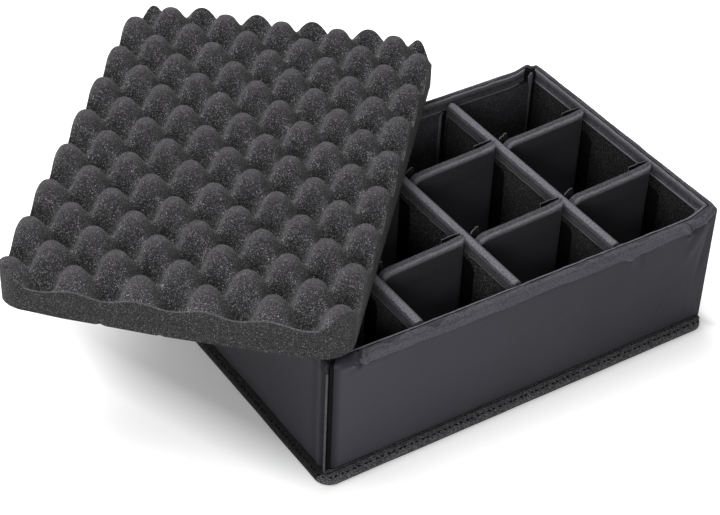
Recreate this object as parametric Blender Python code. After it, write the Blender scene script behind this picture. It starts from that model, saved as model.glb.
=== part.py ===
"""Padded divider insert for a transport case, with its convoluted foam pad laid across the rim.

Frame: the origin is on the floor under the middle of the tray, +X along the long side to the right,
+Y to the back, +Z up. Lengths are in metres and angles in degrees.
"""

import math

import bmesh
import bpy
from mathutils import Vector, geometry

# Clearance between neighbouring pieces, and the least radius of a plan corner
GAP = 0.0003
LEAST_CORNER_RADIUS = 0.0010

# Tray
TRAY_LENGTH = 0.365
TRAY_WIDTH = 0.241
TRAY_HEIGHT = 0.119

# Base: a stiff board between an underside sheet and a loop lining, its edge bound by a hem tape
SHEET_THICKNESS = 0.0009
BOARD_THICKNESS = 0.0032
BASE_LINING_THICKNESS = 0.0015
FRONT_OVERHANG = 0.0090
BACK_OVERHANG = 0.0068
LEFT_OVERHANG = 0.0068
RIGHT_OVERHANG = 0.0012
HEM_LIP = 0.0030
HEM_STEP = 0.0007
HEM_CORNER_RADIUS = 0.0130
BOARD_REACH_share = 0.35

# Walls: a nylon cover folded over a foam core and down the inside, above a loop lining
COVER_THICKNESS = 0.0009
CORE_THICKNESS = 0.0043
WALL_LINING_THICKNESS = 0.0019
COVER_TURNDOWN = 0.0120
CORNER_TUCK = 0.0004
CORNER_TUCK_RUN = 0.0060
WALL_BULGE = 0.0008
CORE_SETBACK = 0.0120
CORNER_TAPE_WIDTH = 0.0060
CORNER_TAPE_THICKNESS = 0.0006
CORNER_TAPE_DROP = 0.0060

# Rim: how far it falls below the tray's full height along the front and at the front left corner
FRONT_SAG = 0.0076
FRONT_LEFT_FALL = 0.0057
LONG_BLEND_RUN = 0.0900
SHORT_BLEND_RUN = 0.0220

# Long dividers: loop panels from front to back, with a nylon binding folded over the top
LONG_PANEL_THICKNESS = 0.0072
LONG_DIVIDER_DROP = 0.0045
BINDING_THICKNESS = 0.0009
BINDING_DEPTH = 0.0110
PANEL_END_EASE = 0.0025
PANEL_END_share = 0.75

# Cross dividers: nylon panels across each column, with a bound top band that rises to the right
CROSS_PANEL_THICKNESS = 0.0076
CROSS_DIVIDER_DROP = 0.0012
CROSS_FALL = 0.0043
CROSS_BAND_DEPTH = 0.0080
CROSS_BAND_LIP = 0.0004
CROSS_LEFT_SHOULDER = 0.0090
CROSS_RIGHT_SHOULDER = 0.0030

# Hook strips: on the ends of every divider, gripping the loop face that they meet
HOOK_THICKNESS = 0.0009
HOOK_MARGIN = 0.0020
HOOK_CORNER_RADIUS = 0.0030
CROSS_HOOK_WIDTH = 0.0260

# Foam pad: blunt peaks and valleys in a staggered pattern, cut off straight at the sides
PAD_LENGTH = 0.3893
PAD_WIDTH = 0.2634
PAD_THICKNESS = 0.0416
PAD_VALLEY_THICKNESS = 0.0124
PAD_CORNER_RADIUS = 0.0220
PITCH_ALONG = 0.04824
PITCH_ACROSS = 0.04876
PEAK_START_ALONG = 0.0113
PEAK_START_ACROSS = 0.0096
PAD_CENTRE_X = -0.1347
PAD_CENTRE_Y = 0.0997
PAD_TURN_DEGREES = 46.65

# Places of the dividers, as shares of the inside length and width
LONG_DIVIDER_shares = {"left": 0.2175, "middle": 0.4740, "right": 0.7460}
FRONT_ROW_shares = (0.2780, 0.2760, 0.2700, 0.2860)
BACK_ROW_shares = (0.6740, 0.6700, 0.6770, 0.6840)

# Radius of the ring of points round each peak and valley, as a share of the pitch
PEAK_RING_share = 0.15

# Heights on a wall's face where its bulge is shaped, as shares of the face
FACE_HEIGHT_shares = (0.30, 0.65)

# Rounded outer face of the hem, as shares of its overhang and of its height
HEM_FACE_shares = ((0.96, 0.0), (1.0, 0.22), (0.93, 0.52), (0.68, 0.82), (0.30, 1.0))

# Facet counts
ARC_STEPS = 4
CORNER_STEPS = 5
HOOK_CORNER_STEPS = 2
SHOULDER_STEPS = 3
RING_STEPS = 8
EDGE_DIVISIONS = 8
SMOOTH_ANGLE_DEGREES = 40

BOARD_BOTTOM = SHEET_THICKNESS + GAP
BOARD_TOP = BOARD_BOTTOM + BOARD_THICKNESS
CELL_FLOOR = BOARD_TOP + GAP + BASE_LINING_THICKNESS + GAP
HEM_TOP = CELL_FLOOR - HEM_STEP

CORE_FRONT = COVER_THICKNESS + GAP
LINING_FRONT = CORE_FRONT + CORE_THICKNESS + GAP
LINING_FACE = LINING_FRONT + WALL_LINING_THICKNESS
WALL_THICKNESS = LINING_FACE + GAP

LONG_DIVIDER_TOP = TRAY_HEIGHT - LONG_DIVIDER_DROP
CROSS_DIVIDER_TOP = TRAY_HEIGHT - CROSS_DIVIDER_DROP
HOOK_BOTTOM = CELL_FLOOR + HOOK_MARGIN
HOOK_TOP = TRAY_HEIGHT - max(FRONT_SAG, LONG_DIVIDER_DROP) - max(COVER_TURNDOWN, BINDING_DEPTH) - HOOK_MARGIN
HOOK_SPACE = HOOK_THICKNESS + 2 * GAP

INSIDE_LENGTH = TRAY_LENGTH - 2 * WALL_THICKNESS
INSIDE_WIDTH = TRAY_WIDTH - 2 * WALL_THICKNESS


def clear_scene():
    """Remove what the scene holds, so that the model stands alone."""
    for obj in list(bpy.data.objects):
        bpy.data.objects.remove(obj, do_unlink=True)


def make_material(name, colour, roughness, metallic=0.0, sheen=0.0):
    """A plain Principled material."""
    material = bpy.data.materials.new(name)
    material.use_nodes = True
    shader = material.node_tree.nodes["Principled BSDF"]
    shader.inputs["Base Color"].default_value = (*colour, 1.0)
    shader.inputs["Roughness"].default_value = roughness
    shader.inputs["Metallic"].default_value = metallic
    shader.inputs["Sheen Weight"].default_value = sheen
    material.diffuse_color = (*colour, 1.0)
    return material


def make_materials():
    """One material for each kind of cloth, foam and board."""
    return {
        "nylon": make_material("satin_nylon", (0.045, 0.045, 0.050), 0.45),
        "tape": make_material("woven_tape", (0.035, 0.035, 0.037), 0.75),
        "loop": make_material("loop_velour", (0.010, 0.010, 0.011), 0.95, sheen=0.3),
        "hook": make_material("hook_strip", (0.012, 0.012, 0.013), 0.60),
        "core": make_material("core_foam", (0.060, 0.060, 0.062), 0.90),
        "board": make_material("base_board", (0.030, 0.030, 0.032), 0.60),
        "foam": make_material("pad_foam", (0.058, 0.055, 0.060), 0.95),
    }


def add_object(name, mesh_builder, material, location=(0, 0, 0), turn_degrees=0.0, parent=None,
               smooth_degrees=SMOOTH_ANGLE_DEGREES):
    """Turn a closed bmesh into a named object with its own material.

    It is shaded smooth except over the sharp angle, or else over the edges that the bmesh marks.
    """
    bmesh.ops.recalc_face_normals(mesh_builder, faces=mesh_builder.faces)
    mesh = bpy.data.meshes.new(name)
    mesh_builder.to_mesh(mesh)
    mesh_builder.free()
    mesh.shade_smooth()
    if smooth_degrees is not None:
        mesh.set_sharp_from_angle(angle=math.radians(smooth_degrees))
    mesh.materials.append(material)
    obj = bpy.data.objects.new(name, mesh)
    obj.location = location
    obj.rotation_euler = (0, 0, math.radians(turn_degrees))
    obj.parent = parent
    bpy.context.scene.collection.objects.link(obj)
    return obj


def add_empty(name, location):
    """An empty that carries the pieces of one divider."""
    empty = bpy.data.objects.new(name, None)
    empty.location = location
    bpy.context.scene.collection.objects.link(empty)
    return empty


def loft(rings, closed_sweep=False):
    """Join rings of points into one closed body, with end caps unless the sweep closes on itself."""
    body = bmesh.new()
    rows = [[body.verts.new(point) for point in ring] for ring in rings]
    pairs = list(zip(rows, rows[1:]))
    if closed_sweep:
        pairs.append((rows[-1], rows[0]))
    else:
        body.faces.new(rows[0])
        body.faces.new(rows[-1])
    for row, next_row in pairs:
        for index in range(len(row)):
            following = (index + 1) % len(row)
            body.faces.new((row[index], row[following], next_row[following], next_row[index]))
    return body


def arc(centre_across, centre_height, radius, start, end, steps=ARC_STEPS):
    """Points of an arc in a section plane, from the start angle to the end angle in degrees."""
    points = []
    for step in range(steps + 1):
        angle = math.radians(start + (end - start) * step / steps)
        points.append((centre_across + radius * math.cos(angle),
                       centre_height + radius * math.sin(angle)))
    return points


def rounded_rectangle(half_length, half_width, radius, steps):
    """Outline of a rectangle with round corners, anticlockwise from its right side."""
    centre_x = half_length - radius
    centre_y = half_width - radius
    outline = []
    for quarter, (side_x, side_y) in enumerate(((1, 1), (-1, 1), (-1, -1), (1, -1))):
        outline += arc(side_x * centre_x, side_y * centre_y, radius,
                       90 * quarter, 90 * quarter + 90, steps)
    return outline


def base_outline(overhang_share, inset=0.0):
    """Outline of the base at this share of each side's overhang past the walls, less an inset."""
    left = -TRAY_LENGTH / 2 - LEFT_OVERHANG * overhang_share + inset
    right = TRAY_LENGTH / 2 + RIGHT_OVERHANG * overhang_share - inset
    front = -TRAY_WIDTH / 2 - FRONT_OVERHANG * overhang_share + inset
    back = TRAY_WIDTH / 2 + BACK_OVERHANG * overhang_share - inset
    radius = LEAST_CORNER_RADIUS + (HEM_CORNER_RADIUS - LEAST_CORNER_RADIUS) * overhang_share
    outline = rounded_rectangle((right - left) / 2, (back - front) / 2, radius, CORNER_STEPS)
    return [(x + (left + right) / 2, y + (front + back) / 2) for x, y in outline]


def flat_sheet(outline, bottom, top):
    """A sheet of this outline between two heights."""
    return loft([[(x, y, bottom) for x, y in outline], [(x, y, top) for x, y in outline]])


def make_base(materials):
    """Underside sheet, board and loop lining, and the hem tape that binds their edge."""
    inner = base_outline(0, HEM_LIP + GAP)
    board = base_outline(BOARD_REACH_share)
    add_object("base_underside", flat_sheet(inner, 0, SHEET_THICKNESS), materials["nylon"])
    add_object("base_board", flat_sheet(board, BOARD_BOTTOM, BOARD_TOP), materials["board"])
    add_object("base_lining", flat_sheet(inner, BOARD_TOP + GAP, CELL_FLOOR - GAP), materials["loop"])

    lip = base_outline(0, HEM_LIP)
    recess = base_outline(BOARD_REACH_share, -GAP)
    outlines = [(lip, 0)]
    outlines += [(base_outline(reach), HEM_TOP * height) for reach, height in HEM_FACE_shares]
    outlines += [(lip, HEM_TOP), (lip, BOARD_TOP + GAP), (recess, BOARD_TOP + GAP),
                 (recess, BOARD_BOTTOM - GAP), (lip, BOARD_BOTTOM - GAP)]
    count = len(outlines[0][0])
    rings = [[(*outline[index], height) for outline, height in outlines] for index in range(count)]
    add_object("base_hem_tape", loft(rings, closed_sweep=True), materials["tape"])


def rim_height(rim, place, half_run):
    """Height of a wall's rim at a place from -1 to 1 along it.

    The rim is given as its fall at the start, in the middle and at the end, and the two runs over
    which the ends blend into the middle.
    """
    start_fall, middle_fall, end_fall, start_run, end_run = rim
    from_start = (1 + place) * half_run
    from_end = (1 - place) * half_run
    fall = middle_fall
    fall += (start_fall - middle_fall) * max(0, 1 - from_start / start_run) ** 2
    fall += (end_fall - middle_fall) * max(0, 1 - from_end / end_run) ** 2
    return TRAY_HEIGHT - fall


def wall_stations(half_run):
    """Places along a wall, from -1 to 1, where its section is shaped."""
    distances = {0, CORNER_TUCK_RUN, SHORT_BLEND_RUN / 2, SHORT_BLEND_RUN, LONG_BLEND_RUN / 2,
                 LONG_BLEND_RUN, half_run}
    places = {distance / half_run - 1 for distance in distances if distance <= half_run}
    return sorted(places | {-place for place in places})


def cover_section(rim):
    """Section of a wall's cover: up the outside, over the core, and down the inside."""
    roll_radius = WALL_THICKNESS / 2
    roll_height = rim - roll_radius
    face = [CELL_FLOOR + (roll_height - CELL_FLOOR) * share for share in (0, *FACE_HEIGHT_shares)]
    lip = rim - COVER_TURNDOWN
    outside = [(0, height) for height in face]
    outside += arc(roll_radius, roll_height, roll_radius, 180, 0)
    outside.append((WALL_THICKNESS, lip))
    inside = [(WALL_THICKNESS - COVER_THICKNESS, lip)]
    inside += arc(roll_radius, roll_height, roll_radius - COVER_THICKNESS, 0, 180)
    inside += [(COVER_THICKNESS, height) for height in reversed(face)]
    return outside + inside


def make_wall_cover(half_run, rim):
    """The folded cover of one wall, mitred to its neighbours and tucked in at the corner seams."""
    rings = []
    for place in wall_stations(half_run):
        from_end = (1 - abs(place)) * half_run
        tuck = CORNER_TUCK * max(0, 1 - from_end / CORNER_TUCK_RUN) ** 2
        crown = rim_height(rim, place, half_run)
        ring = []
        for depth, height in cover_section(crown):
            rise = (height - CELL_FLOOR) / (crown - CELL_FLOOR)
            bulge = WALL_BULGE * (1 - place ** 2) * math.sin(math.pi * rise)
            outerness = 1 - depth / WALL_THICKNESS
            depth += (tuck - bulge) * outerness
            ring.append((place * (half_run - depth - GAP / math.sqrt(2)), depth, height))
        rings.append(ring)
    return loft(rings)


def make_wall_core(half_run, rim):
    """The foam core inside one wall's cover."""
    centre = CORE_FRONT + CORE_THICKNESS / 2
    end = half_run - CORE_SETBACK
    rings = []
    for place in wall_stations(half_run):
        if abs(place) * half_run > end:
            continue
        roll_height = rim_height(rim, place, half_run) - WALL_THICKNESS / 2
        section = [(CORE_FRONT, CELL_FLOOR)]
        section += arc(centre, roll_height, CORE_THICKNESS / 2, 180, 0)
        section.append((CORE_FRONT + CORE_THICKNESS, CELL_FLOOR))
        rings.append([(place * half_run, depth, height) for depth, height in section])
    return loft(rings)


def make_wall_lining(half_run, rim):
    """The loop lining of one wall, which ends just below the cover's turned-down edge."""
    rings = []
    for place in wall_stations(half_run):
        top = rim_height(rim, place, half_run) - COVER_TURNDOWN - GAP
        section = ((LINING_FRONT, CELL_FLOOR), (LINING_FRONT, top), (LINING_FACE, top),
                   (LINING_FACE, CELL_FLOOR))
        rings.append([(place * (half_run - depth - GAP / math.sqrt(2)), depth, height)
                      for depth, height in section])
    return loft(rings)


def make_walls(materials):
    """Four walls, each with a cover, a core and a lining."""
    half_length = TRAY_LENGTH / 2
    half_width = TRAY_WIDTH / 2
    front_rim = (FRONT_LEFT_FALL, FRONT_SAG, 0, LONG_BLEND_RUN, SHORT_BLEND_RUN)
    level_rim = (0, 0, 0, SHORT_BLEND_RUN, SHORT_BLEND_RUN)
    left_rim = (0, 0, FRONT_LEFT_FALL, SHORT_BLEND_RUN, LONG_BLEND_RUN)
    walls = (
        ("front_wall", half_length, front_rim, (0, -half_width, 0), 0),
        ("right_wall", half_width, level_rim, (half_length, 0, 0), 90),
        ("back_wall", half_length, level_rim, (0, half_width, 0), 180),
        ("left_wall", half_width, left_rim, (-half_length, 0, 0), 270),
    )
    for name, half_run, rim, location, turn in walls:
        cover = make_wall_cover(half_run, rim)
        core = make_wall_core(half_run, rim)
        lining = make_wall_lining(half_run, rim)
        add_object(name + "_cover", cover, materials["nylon"], location, turn)
        add_object(name + "_core", core, materials["core"], location, turn)
        add_object(name + "_lining", lining, materials["loop"], location, turn)


def make_corner_tapes(materials):
    """Tape that covers the seam in each inside corner."""
    near = GAP
    far = near + CORNER_TAPE_THICKNESS
    width = near + CORNER_TAPE_WIDTH
    outline = ((near, near), (width, near), (width, far), (far, far), (far, width), (near, width))
    corners = (("front_left", -1, -1, 0, FRONT_LEFT_FALL), ("front_right", 1, -1, 90, 0),
               ("back_right", 1, 1, 180, 0), ("back_left", -1, 1, 270, 0))
    for name, side_x, side_y, turn, fall in corners:
        location = (side_x * INSIDE_LENGTH / 2, side_y * INSIDE_WIDTH / 2, 0)
        top = TRAY_HEIGHT - fall - CORNER_TAPE_DROP
        add_object("corner_tape_" + name, flat_sheet(outline, CELL_FLOOR, top), materials["nylon"],
                   location, turn)


def padded_end_share(from_end):
    """Share of a padded panel's thickness, this far from its end."""
    ease = min(from_end / PANEL_END_EASE, 1)
    return PANEL_END_share + (1 - PANEL_END_share) * math.sin(ease * math.pi / 2)


def make_long_panel(half_run):
    """The loop-faced panel of a long divider, eased thinner at its ends."""
    crown = LONG_DIVIDER_TOP - BINDING_THICKNESS - GAP
    rings = []
    for place in (-1, PANEL_END_EASE / half_run - 1, 0, 1 - PANEL_END_EASE / half_run, 1):
        radius = LONG_PANEL_THICKNESS / 2 * padded_end_share((1 - abs(place)) * half_run)
        section = [(radius, CELL_FLOOR)]
        section += arc(0, crown - LONG_PANEL_THICKNESS / 2, radius, 0, 180)
        section.append((-radius, CELL_FLOOR))
        rings.append([(across, place * half_run, height) for across, height in section])
    return loft(rings)


def make_binding(half_run):
    """The nylon binding folded over the top of a long divider."""
    inner_radius = LONG_PANEL_THICKNESS / 2 + GAP
    outer_radius = inner_radius + BINDING_THICKNESS
    roll_height = LONG_DIVIDER_TOP - outer_radius
    edge = LONG_DIVIDER_TOP - BINDING_DEPTH
    section = [(outer_radius, edge), *arc(0, roll_height, outer_radius, 0, 180), (-outer_radius, edge)]
    section += [(-inner_radius, edge), *arc(0, roll_height, inner_radius, 180, 0), (inner_radius, edge)]
    return loft([[(across, end * half_run, height) for across, height in section] for end in (-1, 1)])


def hook_strip(width):
    """A flat strip with round corners, standing across +X, its near face at the origin."""
    half_width = width / 2
    half_height = (HOOK_TOP - HOOK_BOTTOM) / 2
    radius = min(HOOK_CORNER_RADIUS, half_width)
    centre = (HOOK_TOP + HOOK_BOTTOM) / 2
    outline = rounded_rectangle(half_width, half_height, radius, HOOK_CORNER_STEPS)
    return loft([[(depth, across, centre + height) for across, height in outline]
                 for depth in (0, HOOK_THICKNESS)])


def long_divider_x(name):
    """Where a long divider stands."""
    return INSIDE_LENGTH * (LONG_DIVIDER_shares[name] - 0.5)


def make_long_dividers(materials):
    """Three long dividers with their bindings and end hooks."""
    half_binding = INSIDE_WIDTH / 2 - GAP
    half_panel = half_binding - HOOK_THICKNESS - GAP
    for name in LONG_DIVIDER_shares:
        prefix = "long_divider_" + name
        carrier = add_empty(prefix, (long_divider_x(name), 0, 0))
        add_object(prefix + "_panel", make_long_panel(half_panel), materials["loop"], parent=carrier)
        add_object(prefix + "_binding", make_binding(half_binding), materials["nylon"], parent=carrier)
        width = LONG_PANEL_THICKNESS * PANEL_END_share
        add_object(prefix + "_hook_front", hook_strip(width), materials["hook"],
                   (0, -half_binding, 0), 90, carrier)
        add_object(prefix + "_hook_back", hook_strip(width), materials["hook"],
                   (0, half_binding, 0), 270, carrier)


def column_sides():
    """The loop faces on the left and right of each column."""
    half_panel = LONG_PANEL_THICKNESS / 2
    half_inside = TRAY_LENGTH / 2 - LINING_FACE
    places = [long_divider_x(name) for name in LONG_DIVIDER_shares]
    left_faces = [-half_inside] + [place + half_panel for place in places]
    right_faces = [place - half_panel for place in places] + [half_inside]
    return list(zip(left_faces, right_faces))


def shoulder_fall(from_end, radius):
    """How far a cross divider's top falls at a rounded shoulder."""
    inward = max(radius - from_end, 0)
    return radius - math.sqrt(radius ** 2 - inward ** 2)


def shoulder_distances(radius):
    """Distances from a cross divider's end where its rounded shoulder is shaped."""
    return [radius * (1 - math.cos(math.radians(90 * step / SHOULDER_STEPS)))
            for step in range(SHOULDER_STEPS + 1)]


def make_cross_panel(half_run):
    """A padded cross divider: its bound top band rises to the right and rounds off at both ends."""
    places = [distance / half_run - 1 for distance in shoulder_distances(CROSS_LEFT_SHOULDER)]
    places += [1 - distance / half_run for distance in reversed(shoulder_distances(CROSS_RIGHT_SHOULDER))]
    rings = []
    for place in places:
        from_left = (1 + place) * half_run
        from_right = (1 - place) * half_run
        half = CROSS_PANEL_THICKNESS / 2 * padded_end_share(min(from_left, from_right))
        top = CROSS_DIVIDER_TOP - CROSS_FALL * (1 - place) / 2
        top -= shoulder_fall(from_left, CROSS_LEFT_SHOULDER)
        top -= shoulder_fall(from_right, CROSS_RIGHT_SHOULDER)
        band = half + CROSS_BAND_LIP
        edge = top - CROSS_BAND_DEPTH
        section = [(half, CELL_FLOOR), (half, edge), (band, edge)]
        section += arc(0, top - band, band, 0, 180)
        section += [(-band, edge), (-half, edge), (-half, CELL_FLOOR)]
        rings.append([(place * half_run, across, height) for across, height in section])
    return loft(rings)


def make_cross_dividers(materials):
    """Two cross dividers in each column, each with a hook tab on both ends."""
    rows = (("front", FRONT_ROW_shares), ("back", BACK_ROW_shares))
    for row_name, row_shares in rows:
        for column, ((left, right), share) in enumerate(zip(column_sides(), row_shares), start=1):
            prefix = f"cross_divider_{row_name}_{column}"
            carrier = add_empty(prefix, ((left + right) / 2, INSIDE_WIDTH * (share - 0.5), 0))
            half_column = (right - left) / 2
            panel = make_cross_panel(half_column - HOOK_SPACE)
            add_object(prefix + "_panel", panel, materials["nylon"], parent=carrier)
            hook_place = half_column - GAP
            add_object(prefix + "_hook_left", hook_strip(CROSS_HOOK_WIDTH), materials["hook"],
                       (-hook_place, 0, 0), 0, carrier)
            add_object(prefix + "_hook_right", hook_strip(CROSS_HOOK_WIDTH), materials["hook"],
                       (hook_place, 0, 0), 180, carrier)


def foam_height(x, y):
    """Height of the convoluted surface above the pad's underside, from the pad's low corner."""
    middle = (PAD_THICKNESS + PAD_VALLEY_THICKNESS) / 2
    swing = (PAD_THICKNESS - PAD_VALLEY_THICKNESS) / 2
    along = math.cos(math.tau * (x - PEAK_START_ALONG) / PITCH_ALONG)
    across = math.cos(math.tau * (y - PEAK_START_ACROSS) / PITCH_ACROSS)
    return middle + swing * math.sin(along * across * math.pi / 2)


def pitch_marks(start, pitch, divisions, low, high):
    """Places between two limits that fall on even divisions of the pattern, as (count, place)."""
    step = pitch / divisions
    first = math.ceil((low - start) / step)
    last = math.floor((high - start) / step)
    return [(count, start + count * step) for count in range(first, last + 1)]


def pad_edge_points():
    """The pad's plan outline from its low corner, with points wherever the pattern's lines meet it."""
    low = PAD_CORNER_RADIUS + GAP
    along = [place for _, place in pitch_marks(PEAK_START_ALONG, PITCH_ALONG, EDGE_DIVISIONS,
                                               low, PAD_LENGTH - low)]
    across = [place for _, place in pitch_marks(PEAK_START_ACROSS, PITCH_ACROSS, EDGE_DIVISIONS,
                                                low, PAD_WIDTH - low)]
    corners = rounded_rectangle(PAD_LENGTH / 2, PAD_WIDTH / 2, PAD_CORNER_RADIUS, CORNER_STEPS)
    corners = [(x + PAD_LENGTH / 2, y + PAD_WIDTH / 2) for x, y in corners]
    size = CORNER_STEPS + 1
    return (corners[:size] + [(x, PAD_WIDTH) for x in reversed(along)]
            + corners[size:2 * size] + [(0, y) for y in reversed(across)]
            + corners[2 * size:3 * size] + [(x, 0) for x in along]
            + corners[3 * size:] + [(PAD_LENGTH, y) for y in across])


def inside_pad(x, y, margin):
    """Whether a place is inside the pad's rounded outline by this margin."""
    reach = PAD_CORNER_RADIUS - margin
    nearest_x = min(max(x, PAD_CORNER_RADIUS), PAD_LENGTH - PAD_CORNER_RADIUS)
    nearest_y = min(max(y, PAD_CORNER_RADIUS), PAD_WIDTH - PAD_CORNER_RADIUS)
    return math.hypot(x - nearest_x, y - nearest_y) < reach


def pad_inner_points():
    """Points of the convoluted surface: each peak and valley with a ring round it, and each saddle."""
    ring = (PITCH_ALONG + PITCH_ACROSS) / 2 * PEAK_RING_share
    points = []
    for row, x in pitch_marks(PEAK_START_ALONG, PITCH_ALONG, 4, 0, PAD_LENGTH):
        for column, y in pitch_marks(PEAK_START_ACROSS, PITCH_ACROSS, 4, 0, PAD_WIDTH):
            if row % 2 != column % 2:
                continue
            points.append((x, y))
            if row % 2 == 0:
                points += [(x + ring * math.cos(math.tau * step / RING_STEPS),
                            y + ring * math.sin(math.tau * step / RING_STEPS))
                           for step in range(RING_STEPS)]
    return [point for point in points if inside_pad(*point, ring / 2)]


def make_foam_pad(materials):
    """The convoluted pad: its top is triangulated in plan, lifted, and closed by sides and a bottom."""
    edge = pad_edge_points()
    plan = [Vector(point) for point in edge + pad_inner_points()]
    loop = [(index, (index + 1) % len(edge)) for index in range(len(edge))]
    points, _, triangles, *_ = geometry.delaunay_2d_cdt(plan, loop, [], 1, GAP / 10)

    body = bmesh.new()
    corner = Vector((PAD_LENGTH / 2, PAD_WIDTH / 2))
    verts = [body.verts.new((*(point - corner), foam_height(*point))) for point in points]
    for triangle in triangles:
        body.faces.new([verts[index] for index in triangle])
    rim = [rim_edge for rim_edge in body.edges if rim_edge.is_boundary]
    skirt = bmesh.ops.extrude_edge_only(body, edges=rim)["geom"]
    for vert in (item for item in skirt if isinstance(item, bmesh.types.BMVert)):
        vert.co.z = 0
    bottom = [item for item in skirt if isinstance(item, bmesh.types.BMEdge) and item.is_boundary]
    bmesh.ops.contextual_create(body, geom=bottom)
    for cut_edge in rim + bottom:
        cut_edge.smooth = False
    add_object("foam_pad", body, materials["foam"], (PAD_CENTRE_X, PAD_CENTRE_Y, TRAY_HEIGHT + GAP),
               PAD_TURN_DEGREES, smooth_degrees=None)


def main():
    """Build the whole insert."""
    clear_scene()
    materials = make_materials()
    make_base(materials)
    make_walls(materials)
    make_corner_tapes(materials)
    make_long_dividers(materials)
    make_cross_dividers(materials)
    make_foam_pad(materials)


main()
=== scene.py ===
"""Looks of the padded divider insert and its foam pad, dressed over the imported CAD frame.

Everything is in the CAD frame, in metres: origin on the floor under the middle of the tray, +X along
the long side to the right, +Y to the back, +Z up. The camera stands at the front left.
"""

import math

import bmesh
import bpy
from mathutils import Matrix, Vector, noise


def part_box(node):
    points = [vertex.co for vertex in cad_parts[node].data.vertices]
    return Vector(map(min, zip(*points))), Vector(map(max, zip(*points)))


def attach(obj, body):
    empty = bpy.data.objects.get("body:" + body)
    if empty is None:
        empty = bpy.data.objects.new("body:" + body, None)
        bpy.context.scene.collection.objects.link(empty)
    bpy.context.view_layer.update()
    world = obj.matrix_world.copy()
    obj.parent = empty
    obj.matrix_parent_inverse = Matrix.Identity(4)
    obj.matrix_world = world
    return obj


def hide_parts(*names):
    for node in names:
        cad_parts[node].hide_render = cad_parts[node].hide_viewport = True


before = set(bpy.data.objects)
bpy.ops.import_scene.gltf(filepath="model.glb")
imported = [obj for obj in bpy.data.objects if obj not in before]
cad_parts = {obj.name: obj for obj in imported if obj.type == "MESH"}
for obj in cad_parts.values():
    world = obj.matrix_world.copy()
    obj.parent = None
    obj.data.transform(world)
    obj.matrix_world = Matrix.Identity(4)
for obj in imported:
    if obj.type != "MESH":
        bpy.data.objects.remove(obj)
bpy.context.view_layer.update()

# Sizes and places of the CAD part, repeated from its source or worked out from it
GAP = 0.0003
TRAY_LENGTH = 0.365
TRAY_WIDTH = 0.241
TRAY_HEIGHT = 0.119
SHEET_THICKNESS = 0.0009
BOARD_BOTTOM = 0.0012
BOARD_TOP = 0.0044
CELL_FLOOR = 0.0065
HEM_TOP = 0.0058
FRONT_OVERHANG = 0.0090
BACK_OVERHANG = 0.0068
LEFT_OVERHANG = 0.0068
RIGHT_OVERHANG = 0.0012
HEM_LIP = 0.0030
HEM_CORNER_RADIUS = 0.0130
LEAST_CORNER_RADIUS = 0.001
BOARD_REACH_share = 0.35
WALL_THICKNESS = 0.0080
COVER_TURNDOWN = 0.0120
CORE_BACK = 0.0055
LINING_FRONT = 0.0058
LINING_FACE = 0.0077
FRONT_SAG = 0.0076
FRONT_LEFT_FALL = 0.0057
LONG_BLEND_RUN = 0.0900
SHORT_BLEND_RUN = 0.0220
LONG_PANEL_THICKNESS = 0.0072
LONG_DIVIDER_TOP = 0.1145
BINDING_THICKNESS = 0.0009
BINDING_DEPTH = 0.0110
PANEL_END_EASE = 0.0025
PANEL_END_share = 0.75
CROSS_PANEL_THICKNESS = 0.0076
CROSS_DIVIDER_TOP = 0.1178
CROSS_FALL = 0.0043
CROSS_BAND_DEPTH = 0.0080
CROSS_LEFT_SHOULDER = 0.0090
HOOK_THICKNESS = 0.0009
HOOK_BOTTOM = 0.0085
HOOK_TOP = 0.0974
HOOK_SPACE = 0.0015
HOOK_CORNER_RADIUS = 0.003
CROSS_HOOK_WIDTH = 0.0260
CORNER_TAPE_WIDTH = 0.0060
CORNER_TAPE_DROP = 0.0060
PAD_LENGTH = 0.3893
PAD_WIDTH = 0.2634
PAD_THICKNESS = 0.0416
PAD_VALLEY_THICKNESS = 0.0124
PAD_CORNER_RADIUS = 0.0220
PITCH_ALONG = 0.04824
PITCH_ACROSS = 0.04876
PEAK_START_ALONG = 0.0113
PEAK_START_ACROSS = 0.0096
PAD_CENTRE = Vector((-0.1347, 0.0997, 0.1193))
PAD_TURN = math.radians(46.65)
LONG_DIVIDER_shares = {"left": 0.2175, "middle": 0.4740, "right": 0.7460}
FRONT_ROW_shares = (0.2780, 0.2760, 0.2700, 0.2860)
BACK_ROW_shares = (0.6740, 0.6700, 0.6770, 0.6840)

# Sizes of the cloth's own detail
INNER_LIMIT = 0.0082
ROLL_RADIUS = 0.0042
EDGE_ROUND = 0.0013
SEAM_SHADE_WIDTH = 0.0032
CROSS_LIP_DEPTH = 0.0038
END_ROUND = 0.0068
RELIEF_GAP = 0.0001
FLAP_THICKNESS = 0.0008
FLAP_DEPTHS = (0.0300, 0.0200, 0.0120, 0.0070, 0.0035, 0.0012, 0.0003)
STITCH_HALF_LENGTH = 0.0013
STITCH_HALF_THICKNESS = 0.0004
STITCH_HALF_WIDTH = 0.00065
STITCH_SPACINGS = (0.0062, 0.0042)
STITCH_REACH_share = 0.60
SHEET_SWELL = 0.0003

# Spacing of points, and counts of steps
WALL_SPACING = 0.0018
LINING_SPACING = 0.004
HEM_SPACING = 0.006
FINE_SPACING = 0.0017
BINDING_SIDE_STEPS = 7
BINDING_ARC_STEPS = 16
PAD_CORNER_STEPS = 14

HALF_LENGTH = TRAY_LENGTH / 2
HALF_WIDTH = TRAY_WIDTH / 2
INSIDE_LENGTH = TRAY_LENGTH - 2 * WALL_THICKNESS
INSIDE_WIDTH = TRAY_WIDTH - 2 * WALL_THICKNESS


def ramp(start, end, value):
    """0 before start, 1 after end, and a smooth step between them."""
    share = min(max((value - start) / (end - start), 0.0), 1.0)
    return share * share * (3 - 2 * share)


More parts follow.
